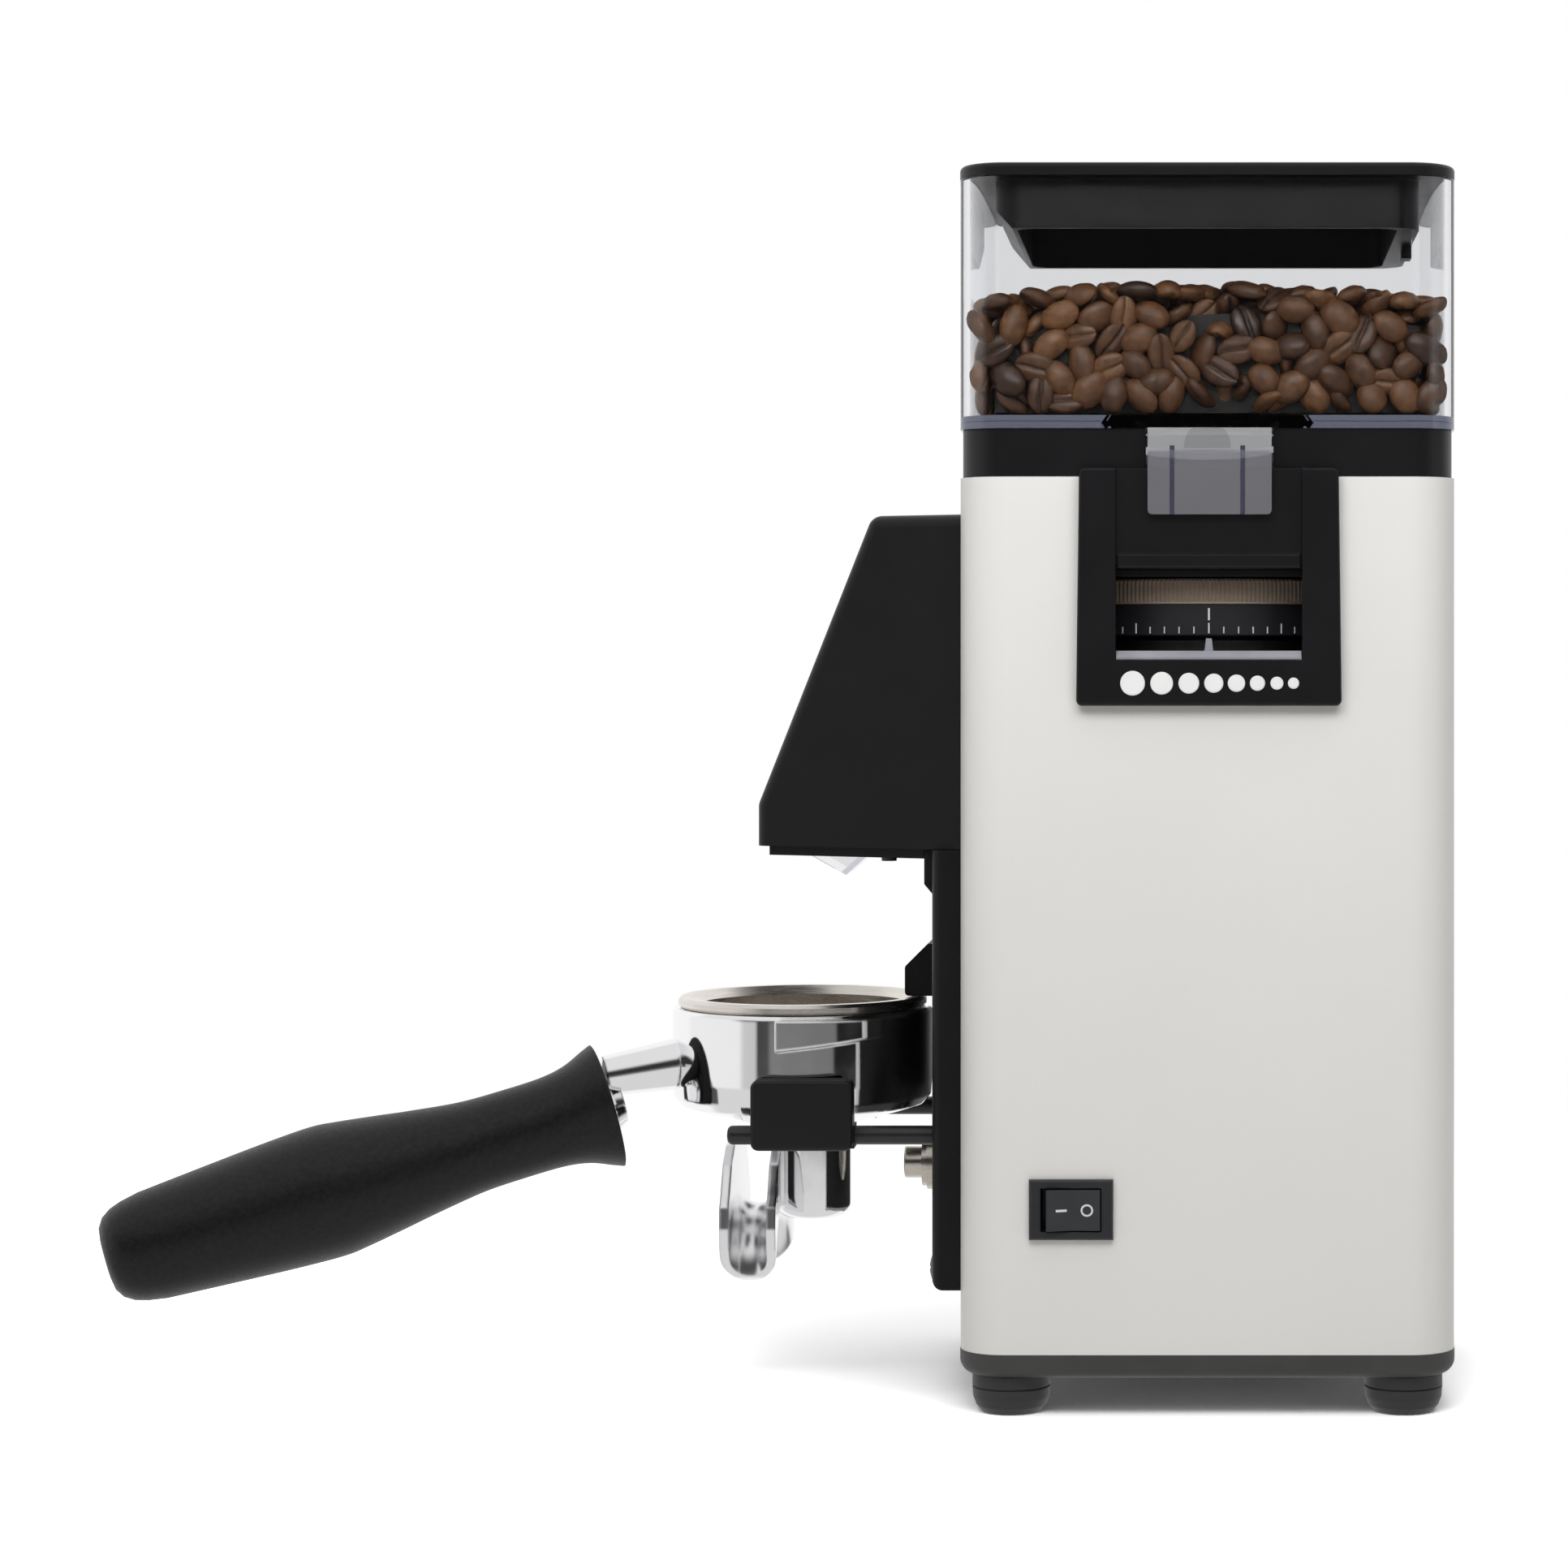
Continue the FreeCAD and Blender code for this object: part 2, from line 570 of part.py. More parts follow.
def make_index_ledge():
    half = WINDOW_HALF - 0.2
    y_front = -BODY_HALF_Y - BEZEL_PROUD + 0.6
    bar = box(BEZEL_X - half, BEZEL_X + half, y_front, -54.0, WINDOW_Z0, WINDOW_Z0 + LEDGE_H)
    bar = bar.makeChamfer(1.6, [e for e in bar.Edges if e.BoundBox.ZMin > WINDOW_Z0 + LEDGE_H - 0.01
                                and e.BoundBox.YMax < y_front + 0.01])
    base_half, tip_half = 1.4, 0.75
    pointer = prism_side([(BEZEL_X - base_half, WINDOW_Z0 + 1), (BEZEL_X + base_half, WINDOW_Z0 + 1),
                          (BEZEL_X + tip_half, POINTER_Z1), (BEZEL_X - tip_half, POINTER_Z1)],
                         POINTER_Y, POINTER_Y + 7.4)
    return bar.fuse(pointer).removeSplitter()


def make_grind_size_dots():
    y_face = -BODY_HALF_Y - BEZEL_PROUD
    return Part.makeCompound([rod_y(diameter / 2, y_face - 0.2, y_face, x, DOT_Z) for x, diameter in DOTS])


# ================================================================ burrs and chamber
def make_adjust_ring():
    band = ring(RING_R, CHAMBER_OUT_R + 0.6, RING_Z0, RING_Z1)
    web = ring(CHAMBER_OUT_R + 1.0, RING_WEB_R, RING_Z0 + 0.5, RING_Z0 + 4.5)
    boss = ring(RING_WEB_R + 3.0, RING_WEB_R, RING_Z0 - 5.0, RING_Z1)
    return band.fuse([web, boss])


def make_scale_ring():
    band = ring(SCALE_R, CHAMBER_OUT_R + 0.8, SCALE_Z0, RING_Z0)
    return fillet_where(band, 0.5, lambda b: b.ZMax < SCALE_Z0 + 0.01 and b.XLength > 100)


def make_ring_retainer():
    plate = rounded_block(FOOT_X + 5.0, FOOT_Y + 5.0, 6.0, RING_Z1 + 0.4, RING_Z1 + 2.4)
    plate = plate.cut(disc(34.0, RING_Z1, RING_Z1 + 4))
    for x, y in corner_points(FOOT_X, FOOT_Y):
        plate = plate.cut(disc(M4_HOLE_R, RING_Z1, RING_Z1 + 4, x, y))
    return plate


def burr_slot(z_face, lifted):
    """Slanted cutter that leaves one tooth edge on a burr's grinding face."""
    slot = box(BURR_IN_R - 3, BURR_OUT_R + 3, -1.6, 1.6, -1.2, 1.2)
    slot.rotate(ORIGIN, X_AXIS, 20)
    slot.rotate(Vector(BURR_OUT_R, 0, 0), Y_AXIS, -5 if lifted else 5)
    slot.rotate(Vector((BURR_IN_R + BURR_OUT_R) / 2, 0, 0), Z_AXIS, 22)
    slot.translate(Vector(0, 0, z_face))
    return slot


def make_burr(z0, face_up):
    burr = ring(BURR_OUT_R, BURR_IN_R, z0, z0 + BURR_T)
    z_face = z0 + BURR_T if face_up else z0
    cutters = round_pattern(lambda: burr_slot(z_face, not face_up), BURR_SLOTS)
    burr = burr.cut(cutters)
    return burr.cut(burr_screw_holes(z0 - 1, z0 + BURR_T + 1, BURR_SCREW_R + 0.1))


def make_burr_screws(z0, z1, head_at_top):
    """Three short screws on the burr's bolt circle."""
    def screw():
        head_z = z1 if head_at_top else z0 - 0.8
        shank = disc(BURR_SCREW_R, z0, z1, BURR_BOLT_R, 0)
        return shank.fuse(disc(BURR_SCREW_R, head_z - 0.1, head_z + 0.9, BURR_BOLT_R, 0))
    return round_pattern(screw, 3, 30)


def make_upper_burr_carrier():
    flange_z = LOWER_BURR_Z + 2 * BURR_T + BURR_GAP
    top = flange_z + CARRIER_T
    neck_top = RING_Z1 + 5
    rim_r, mouth_r = 27.0, 23.0
    body = turned([(THROAT_R, flange_z), (CARRIER_R, flange_z), (CARRIER_R, top), (CARRIER_NECK_R, top),
                   (CARRIER_NECK_R, neck_top), (rim_r, neck_top), (rim_r, CARRIER_TOP_Z - 2),
                   (mouth_r + 0.5, CARRIER_TOP_Z), (mouth_r, CARRIER_TOP_Z), (THROAT_R, RING_Z0)])
    for sign in (-1, 1):
        body = body.cut(disc(GUIDE_PIN_R + 0.4, flange_z - 1, top + 1, 0, sign * GUIDE_Y))
    return body.cut(burr_screw_holes(flange_z - 1, flange_z + 3, BURR_SCREW_R))


def make_lower_burr_carrier():
    z0 = LOWER_BURR_Z - 4.5
    bore = SHAFT_R + FIT_CLEAR
    plate = ring(BURR_OUT_R + 2, bore, z0, LOWER_BURR_Z)
    vanes = round_pattern(lambda: box(BURR_OUT_R, BURR_OUT_R + 4.6, -1.2, 1.2, z0, LOWER_BURR_Z), 3)
    hub = ring(BURR_IN_R - 4, bore, z0, LOWER_BURR_Z + 3)
    carrier = plate.fuse([hub] + vanes.Solids)
    return carrier.cut(burr_screw_holes(z0 - 1, LOWER_BURR_Z + 1, BURR_SCREW_R))


def make_burr_nut():
    hexagon = [polar(8.0, 60 * i) for i in range(6)]
    nut = prism_plan(hexagon, LOWER_BURR_Z + 3, LOWER_BURR_Z + 8)
    return nut.cut(disc(SHAFT_R - 1 + FIT_CLEAR, LOWER_BURR_Z, LOWER_BURR_Z + 9))


def duct_frame():
    """Start and end of the duct's centre line in (x, z), and its slope."""
    slope = math.radians(CHUTE_SLOPE)
    reach = CHUTE_L - 1.0
    x0 = CHUTE_TIP[0] + reach * math.cos(slope) - CHUTE_H / 2 * math.sin(slope)
    z0 = CHUTE_TIP[1] + reach * math.sin(slope) + CHUTE_H / 2 * math.cos(slope)
    x1 = -CHAMBER_OUT_R
    return x0, z0, x1, DUCT_TOP_Z, math.atan2(DUCT_TOP_Z - z0, x1 - x0)


def sloped_bar(x0, z0, slope, length, half_w, half_h):
    bar = box(0, length, -half_w, half_w, -half_h, half_h)
    bar.rotate(ORIGIN, Y_AXIS, -math.degrees(slope))
    bar.translate(Vector(x0, 0, z0))
    return bar


def chute_bar(half_w, half_h, start, end):
    """Bar along the clear chute's centre line, from start to end."""
    slope = math.radians(CHUTE_SLOPE)
    x_mid = CHUTE_TIP[0] - CHUTE_H / 2 * math.sin(slope) + start * math.cos(slope)
    z_mid = CHUTE_TIP[1] + CHUTE_H / 2 * math.cos(slope) + start * math.sin(slope)
    return sloped_bar(x_mid, z_mid, slope, end - start, half_w, half_h)


def make_outlet_duct():
    x0, z0, x1, z1, slope = duct_frame()
    length = math.hypot(x1 - x0, z1 - z0) + 8
    half_w = CHUTE_W / 2 + DUCT_CLEAR
    half_h = CHUTE_H / 2 + DUCT_CLEAR
    upper_out = sloped_bar(x0, z0, slope, length, half_w + DUCT_WALL, half_h + DUCT_WALL)
    upper_in = sloped_bar(x0 - 6, z0 - 6 * math.tan(slope), slope, length + 20, half_w - 2, half_h - 2)
    lower_out = chute_bar(half_w + DUCT_WALL, half_h + DUCT_WALL, 19.0, CHUTE_L + 4)
    lower_in = chute_bar(half_w, half_h, 10.0, CHUTE_L + 0.2)
    duct = upper_out.fuse(lower_out).cut(upper_in).cut(lower_in)
    duct = duct.cut(chute_bar(half_w - 2, half_h - 2, 10.0, CHUTE_L + 5))
    return duct.cut(disc(CHAMBER_OUT_R + 0.2, 150, 230))


def make_clear_chute():
    outer = chute_bar(CHUTE_W / 2, CHUTE_H / 2, -12.0, CHUTE_L)
    inner = chute_bar(CHUTE_W / 2 - CHUTE_WALL, CHUTE_H / 2 - CHUTE_WALL, -14.0, CHUTE_L + 1)
    chute = outer.cut(inner)
    mouth = math.radians(CHUTE_SLOPE + CHUTE_MOUTH_DEG)
    span = 40.0
    tip_x, tip_z = CHUTE_TIP
    far = (tip_x + span * math.cos(mouth), tip_z + span * math.sin(mouth))
    near = (tip_x - span * math.cos(mouth), tip_z - span * math.sin(mouth))
    cutter = prism_side([near, far, (far[0] - span, far[1] - span), (near[0] - span, near[1] - span)],
                        -CHUTE_W, CHUTE_W)
    return chute.cut(cutter)


def make_grinding_chamber():
    base = disc(CHAMBER_OUT_R, CHAMBER_Z0, CHAMBER_FLOOR_Z)
    wall = ring(CHAMBER_OUT_R, CHAMBER_IN_R, CHAMBER_FLOOR_Z, CHAMBER_Z1)
    ears = round_pattern(lambda: disc(5.0, CHAMBER_Z0, CHAMBER_Z0 + 4, 47.0, 0), 4, 45)
    holes = stud_holes(CHAMBER_Z0 - 1, CHAMBER_Z0 + 9)
    chamber = base.fuse([wall] + ears.Solids)
    chamber = chamber.cut(disc(UPPER_BEARING_R, CHAMBER_Z0 - 1, CHAMBER_Z0 + BEARING_W))
    chamber = chamber.cut(disc(SHAFT_R + 3, CHAMBER_Z0, CHAMBER_FLOOR_Z + 1)).cut(holes)
    half_w = CHUTE_W / 2 + DUCT_CLEAR - 2
    outlet = box(-CHAMBER_OUT_R - 1, -CHAMBER_IN_R + 6, -half_w, half_w, CHAMBER_FLOOR_Z, 194.5)
    guide_pins = [disc(GUIDE_PIN_R, CHAMBER_FLOOR_Z - 1, CHAMBER_Z1, 0, sign * GUIDE_Y) for sign in (-1, 1)]
    return chamber.cut(outlet).fuse(guide_pins)


def make_chamber_screws():
    def screw():
        head = disc(3.1, CHAMBER_Z0 + 4, CHAMBER_Z0 + 7, STUD_CIRCLE_R, 0)
        shank = disc(M4_R, MOTOR_Z1 - 6, CHAMBER_Z0 + 4, STUD_CIRCLE_R, 0)
        hexagon = [polar(1.6, 60 * i) for i in range(6)]
        socket = prism_plan([(STUD_CIRCLE_R + px, py) for px, py in hexagon], CHAMBER_Z0 + 5.4, CHAMBER_Z0 + 8)
        return head.fuse(shank).cut(socket)
    return round_pattern(screw, 4, 45)


# ================================================================ motor and frame
def make_chassis_plate():
    plate = rounded_block(FOOT_X + 9.5, FOOT_Y + 9.5, 8.0, MOTOR_Z1, MOTOR_Z1 + CHASSIS_T)
    plate = plate.cut(disc(16.0, MOTOR_Z1 - 1, MOTOR_Z1 + 5))
    plate = plate.cut(box(FRONT_X, -47.5, -17.0, 17.0, MOTOR_Z1 - 1, MOTOR_Z1 + 5))
    plate = plate.cut(stud_holes(MOTOR_Z1 - 1, MOTOR_Z1 + 5))
    for x, y in corner_points(FOOT_X, FOOT_Y):
        plate = plate.cut(disc(M4_HOLE_R, MOTOR_Z1 - 1, MOTOR_Z1 + 5, x, y))
    return plate


def make_frame_pillars():
    """Lower posts, tapped for the foot screws, and upper posts that carry the ring retainer."""
    pillars = []
    z0 = TRAY_Z0 + TRAY_WALL
    z1 = MOTOR_Z1 + CHASSIS_T
    for x, y in corner_points(FOOT_X, FOOT_Y):
        lower = disc(PILLAR_R, z0, MOTOR_Z1, x, y).cut(disc(2.15, z0 - 1, z0 + 12, x, y))
        pillars.append(lower.cut(disc(1.7, MOTOR_Z1 - 12, MOTOR_Z1 + 1, x, y)))
        upper = disc(PILLAR_R, z1, RING_Z1 + 0.4, x, y)
        pillars.append(upper.fuse([disc(1.6, z1 - 10, z1, x, y), disc(1.9, RING_Z1, RING_Z1 + 2.4, x, y)]))
    return Part.makeCompound(pillars)


def make_motor_can():
    can = ring(MOTOR_R, MOTOR_R - CAN_WALL, MOTOR_Z0 + END_BELL_T, MOTOR_Z1 - 4)
    slots = round_pattern(lambda: box(MOTOR_R - 5, MOTOR_R + 2, -3, 3, STATOR_Z1 + 4, STATOR_Z1 + 14), 10)
    top = disc(MOTOR_R, MOTOR_Z1 - 4, MOTOR_Z1)
    ears = round_pattern(lambda: disc(5.0, MOTOR_Z1 - 4, MOTOR_Z1, 47.6, 0), 4, 45)
    can = can.cut(slots).fuse([top] + ears.Solids).cut(disc(12.0, MOTOR_Z1 - 5, MOTOR_Z1 + 1))
    return can.cut(stud_holes(MOTOR_Z1 - 5, MOTOR_Z1 + 1))


def make_motor_end_bell():
    bell = disc(MOTOR_R, MOTOR_Z0, MOTOR_Z0 + END_BELL_T)
    boss = disc(16.0, MOTOR_Z0, MOTOR_Z0 + END_BELL_T + 4)
    bell = bell.fuse(boss).cut(disc(LOWER_BEARING_R, MOTOR_Z0 + 2, MOTOR_Z0 + 12))
    bell = bell.cut(disc(SHAFT_R + 2, MOTOR_Z0 - 1, MOTOR_Z0 + 12))
    slots = round_pattern(lambda: box(20.0, 40.0, -3.5, 3.5, MOTOR_Z0 - 1, MOTOR_Z0 + 11), 8)
    return bell.cut(slots)


def make_stator():
    core = ring(MOTOR_R - CAN_WALL, STATOR_IN_R, STATOR_Z0, STATOR_Z1)
    slots = round_pattern(lambda: box(30.0, 38.0, -2.0, 2.0, STATOR_Z0 - 1, STATOR_Z1 + 1), 12)
    return core.cut(slots)


def make_windings():
    outer_r, inner_r = 40.0, 28.5
    lower = ring(outer_r, inner_r, STATOR_Z0 - WINDING_H, STATOR_Z0)
    upper = ring(outer_r, inner_r, STATOR_Z1, STATOR_Z1 + WINDING_H)
    return Part.makeCompound([fillet_where(lower, 2.5, lambda b: b.ZMax < STATOR_Z0 - WINDING_H + 0.01),
                              fillet_where(upper, 2.5, lambda b: b.ZMin > STATOR_Z1 + WINDING_H - 0.01)])


def make_rotor():
    return ring(ROTOR_R, SHAFT_R + FIT_CLEAR, STATOR_Z0, STATOR_Z1)


def make_shaft():
    main = disc(SHAFT_R, FAN_Z0 - 1, LOWER_BURR_Z + 3)
    stub = disc(SHAFT_R - 1, LOWER_BURR_Z + 3, LOWER_BURR_Z + 9.5)
    return main.fuse(stub)


def make_bearings():
    bore = SHAFT_R + BEARING_CLEAR
    upper = ring(UPPER_BEARING_R, bore, CHAMBER_Z0, CHAMBER_Z0 + BEARING_W)
    lower = ring(LOWER_BEARING_R, bore, MOTOR_Z0 + 2, MOTOR_Z0 + 2 + BEARING_W)
    return Part.makeCompound([upper, lower])


def make_fan():
    bore = SHAFT_R + FIT_CLEAR
    plate = ring(FAN_R, bore, FAN_Z0 + 8, FAN_Z0 + 10)
    hub = ring(9.0, bore, FAN_Z0, FAN_Z0 + 9)
    blades = round_pattern(lambda: box(8.0, FAN_R - 1, -0.8, 0.8, FAN_Z0, FAN_Z0 + 9), 9)
    return hub.fuse([plate] + blades.Solids)


def make_control_board():
    """Board with its relay, filter coil, terminal block and chips."""
    top = BOARD_Z + BOARD_T
    board = box(-30.0, 38.0, -20.0, 20.0, BOARD_Z, top)
    relay = box(-24.0, -6.0, -14.0, 0.0, top, top + 14)
    filter_coil = disc(8.0, top, top + 12, 12.0, -6.0)
    terminals = box(22.0, 34.0, -18.0, 8.0, top, top + 9)
    chips = [box(-22.0 + 9 * i, -16.0 + 9 * i, 6.0, 11.0, top, top + 2) for i in range(4)]
    return Part.makeCompound([board, relay, filter_coil, terminals] + chips)


# ================================================================ head
def head_solid(inset, bottom_z):
    """Spout housing's outer form, shrunk by an inset; its back stays on the body."""
    lean = math.atan2(HEAD_TOP_Z - HEAD_NOSE_Z, HEAD_RIDGE_X - HEAD_FRONT_X)
    lean_shift = inset / math.sin(lean)
    top = HEAD_TOP_Z - inset
    ridge = HEAD_RIDGE_X + lean_shift - inset / math.tan(lean)
    nose_x = HEAD_FRONT_X + inset
    nose_z = HEAD_NOSE_Z - (lean_shift - inset) * math.tan(lean)
    outline = [(FRONT_X, top), (ridge, top), (nose_x, nose_z), (nose_x, bottom_z), (FRONT_X, bottom_z)]
    side = prism_side(outline, -HEAD_BACK_HALF_Y - 5, HEAD_BACK_HALF_Y + 5)
    taper = (HEAD_BACK_HALF_Y - HEAD_FRONT_HALF_Y) / (FRONT_X - HEAD_FRONT_X)
    y_shift = inset * math.hypot(1, taper)
    back_y = HEAD_BACK_HALF_Y - y_shift
    front_y = HEAD_FRONT_HALF_Y - y_shift - taper * 5
    front_x = HEAD_FRONT_X - 5
    plan = prism_plan([(FRONT_X, -back_y), (FRONT_X, back_y), (front_x, front_y), (front_x, -front_y)],
                      bottom_z - 1, HEAD_TOP_Z + 1)
    return side.common(plan)


def panel_frame():
    """Centre of the head's sloped face, and its lean from the vertical in degrees."""
    x = (HEAD_RIDGE_X + HEAD_FRONT_X) / 2
    z = (HEAD_TOP_Z + HEAD_NOSE_Z) / 2
    lean = math.degrees(math.atan2(HEAD_RIDGE_X - HEAD_FRONT_X, HEAD_TOP_Z - HEAD_NOSE_Z))
    return x, z, lean


def on_panel(shape):
    """Move a shape drawn on the plane X = 0 (outside is -X) onto the sloped face."""
    x, z, lean = panel_frame()
    moved = shape.copy()
    moved.rotate(ORIGIN, Y_AXIS, lean)
    moved.translate(Vector(x, 0, z))
    return moved


def make_spout_housing():
    outer = head_solid(0.0, HEAD_BOTTOM_Z)
    outer = fillet_where(outer, HEAD_EDGE_R, lambda b: b.XMin < FRONT_X - 1 and b.ZMax > HEAD_BOTTOM_Z + 0.1)
    shell = outer.cut(head_solid(HEAD_WALL, HEAD_BOTTOM_Z - 1))
    recess = on_panel(box(-1.0, PANEL_T, -PANEL_W / 2, PANEL_W / 2, -PANEL_H / 2, PANEL_H / 2))
    shell = shell.cut(recess)
    for y, z in KEY_PLACES:
        shell = shell.cut(on_panel(rod_x(KEY_R + 1.0, -1, 6, y, z)))
    return shell


def make_control_panel():
    half_w = PANEL_W / 2 - 0.2
    half_h = PANEL_H / 2 - 0.2
    plate = box(PANEL_LIFT, PANEL_T, -half_w, half_w, -half_h, half_h)
    for y, z in KEY_PLACES:
        plate = plate.cut(rod_x(KEY_R + KEY_GAP, -1, 3, y, z))
    y0, y1, z0, z1 = LENS_BOX
    return on_panel(plate.cut(box(-1, LENS_T, y0 - 0.1, y1 + 0.1, z0 - 0.1, z1 + 0.1)))


def make_display_lens():
    return on_panel(box(PANEL_LIFT, LENS_T, *LENS_BOX))


def make_key(index):
    y, z = KEY_PLACES[index]
    cap = rod_x(KEY_R, -0.2, 3.4, y, z)
    return on_panel(fillet_where(cap, 0.4, lambda b: b.XMax < -0.19))


def make_head_bottom_cover():
    front, back = HEAD_FRONT_X - 5, PLATE_X - 2.6
    z0 = HEAD_BOTTOM_Z - COVER_T
    plate = head_solid(COVER_INSET, z0)
    plate = plate.common(box(front, back, -BODY_HALF_Y, BODY_HALF_Y, z0, HEAD_BOTTOM_Z))
    step = head_solid(HEAD_WALL + 0.15, z0)
    step = step.common(box(front, back, -BODY_HALF_Y, BODY_HALF_Y, HEAD_BOTTOM_Z, HEAD_BOTTOM_Z + 2))
    cover = plate.fuse(step)
    cover = cover.cut(chute_bar(CHUTE_W / 2 + 0.3, CHUTE_H / 2 + 0.3, -20.0, CHUTE_L))
    for sign in (-1, 1):
        hole_y = sign * COVER_SCREW_Y
        cover = cover.cut(disc(M3_R + 0.1, HEAD_BOTTOM_Z - 5, HEAD_BOTTOM_Z + 5, COVER_SCREW_X, hole_y))
    return cover


def make_bottom_cover_screws():
    screws = []
    z0 = HEAD_BOTTOM_Z - COVER_T
    for sign in (-1, 1):
        x, y = COVER_SCREW_X, sign * COVER_SCREW_Y
        head = disc(2.1, z0 - 1.5, z0, x, y)
        slot = box(x - 2.0, x + 2.0, y - 0.3, y + 0.3, z0 - 2, z0 - 0.9)
        screws.append(head.cut(slot).fuse(disc(M3_R, z0, z0 + 8, x, y)))
    return Part.makeCompound(screws)


# ================================================================ front plate and fork
def make_front_plate():
    outer = box(PLATE_X, FRONT_X, -PLATE_HALF_Y, PLATE_HALF_Y, PLATE_Z0, HEAD_BOTTOM_Z)
    outer = fillet_where(outer, PLATE_EDGE_R, lambda b: b.XMax < PLATE_X + 0.01 and b.ZMin < HEAD_BOTTOM_Z - 1)
    inner_y = PLATE_HALF_Y - PLATE_WALL
    hollow = box(PLATE_X + PLATE_WALL, FRONT_X + 1, -inner_y, inner_y, PLATE_Z0 + PLATE_WALL, HEAD_BOTTOM_Z + 1)
    gusset_x, gusset_z0, gusset_z1 = PLATE_X - 2.4, 137.5, 141.0
    gusset = prism_side([(PLATE_X + 0.5, HEAD_BOTTOM_Z), (gusset_x, HEAD_BOTTOM_Z), (gusset_x, gusset_z1),
                         (PLATE_X + 0.5, gusset_z0)], -PLATE_HALF_Y + 6, PLATE_HALF_Y - 6)
    plate = outer.cut(hollow)
    bosses = []
    for side in (-1, 1):
        bosses.append(rod_x(5.5, PLATE_X + 1, FRONT_X, side * ROD_Y, ROD_Z))
        bosses.append(rod_x(4.5, PLATE_X + 1, FRONT_X, side * PLATE_SCREW_Y, PLATE_SCREW_Z + 3))
    bosses.append(rod_x(9.5, PLATE_X + 1, FRONT_X, 0, BUTTON_Z))
    plate = plate.fuse(bosses + [gusset])
    plate = plate.cut(rod_x(BUTTON_HOLE_R, PLATE_X - 1, FRONT_X + 1, 0, BUTTON_Z))
    for side in (-1, 1):
        plate = plate.cut(rod_x(ROD_R, PLATE_X - 1, FRONT_X + 1, side * ROD_Y, ROD_Z))
        plate = plate.cut(rod_x(M4_HOLE_R, PLATE_X - 1, FRONT_X + 1, side * PLATE_SCREW_Y, PLATE_SCREW_Z))
        plate = plate.cut(rod_x(M3_R + 0.1, PLATE_X - 1, PLATE_X + 3, side * HOOK_SCREW_Y, HOOK_SCREW_Z))
    return plate


def make_front_plate_screws():
    """Two slotted dome screws at the plate's foot, and two small ones that hold the hook from behind."""
    screws = []
    z = PLATE_SCREW_Z
    face = PLATE_X - PLATE_SCREW_RISE
    head_half, slot_half, slot_depth = 6.0, 0.5, 1.0
    for side in (-1, 1):
        y = side * PLATE_SCREW_Y
        dome = Part.makeSphere(PLATE_SCREW_DOME_R, Vector(face + PLATE_SCREW_DOME_R, y, z))
        head = dome.common(box(face - 1, PLATE_X, y - head_half, y + head_half, z - head_half, z + head_half))
        slot = box(face - 1, face + slot_depth, y - 2.6, y + 2.6, z - slot_half, z + slot_half)
        screws.append(head.cut(slot).fuse(rod_x(M4_R, PLATE_X, FRONT_X + 6, y, z)))
        inner_face = PLATE_X + PLATE_WALL
        hook_y = side * HOOK_SCREW_Y
        shank = rod_x(M3_R, HOOK_SCREW_TIP_X, inner_face, hook_y, HOOK_SCREW_Z)
        screws.append(shank.fuse(rod_x(2.8, inner_face, inner_face + 1.8, hook_y, HOOK_SCREW_Z)))
    return Part.makeCompound(screws)


def make_fork_rods():
    rods = []
    for side in (-1, 1):
        rod = rod_x(ROD_R, ROD_TIP_X, FRONT_X + 8, side * ROD_Y, ROD_Z)
        rod = rod.makeFillet(1.4, [e for e in rod.Edges if e.BoundBox.XMax < ROD_TIP_X + 0.01])
        rods.append(rod)
    return Part.makeCompound(rods)


def make_fork_pad(side):
    upright = box(PAD_X0, PAD_X1, PAD_IN_Y, PAD_OUT_Y, PAD_Z0, PAD_Z1)
    upright = fillet_where(upright, PAD_CORNER_R, lambda b: b.YLength > PAD_OUT_Y - PAD_IN_Y - 0.01)
    upright = fillet_where(upright, PAD_EDGE_R, lambda b: b.YMin > PAD_OUT_Y - 0.01)
    ledge = box(PAD_X0, PAD_X1, PAD_LEDGE_Y, PAD_IN_Y + 1, PAD_Z0, PAD_LEDGE_Z)
    bore = rod_x(ROD_R + FIT_CLEAR, PAD_X0 - 1, PAD_X1 + 1, ROD_Y, ROD_Z)
    pad = upright.fuse(ledge).cut(bore).removeSplitter()
    if side < 0:
        pad = pad.mirror(ORIGIN, Y_AXIS)
    return pad


def make_rim_hook():
    ridge_x = HOOK_X0 + HOOK_SLOPE
    hook = prism_side([(HOOK_X0, HOOK_Z0), (PLATE_X, HOOK_Z0), (PLATE_X, HOOK_Z1), (ridge_x, HOOK_Z1),
                       (HOOK_X0, HOOK_Z1 - HOOK_SLOPE)], -HOOK_HALF_Y, HOOK_HALF_Y)
    hook = fillet_where(hook, 1.2, lambda b: b.XMax < ridge_x + 0.01 and b.YLength > 1)
    for side in (-1, 1):
        hole_y = side * HOOK_SCREW_Y
        hook = hook.cut(rod_x(M3_R + FIT_CLEAR, HOOK_SCREW_TIP_X - 0.5, PLATE_X + 1, hole_y, HOOK_SCREW_Z))
    return hook


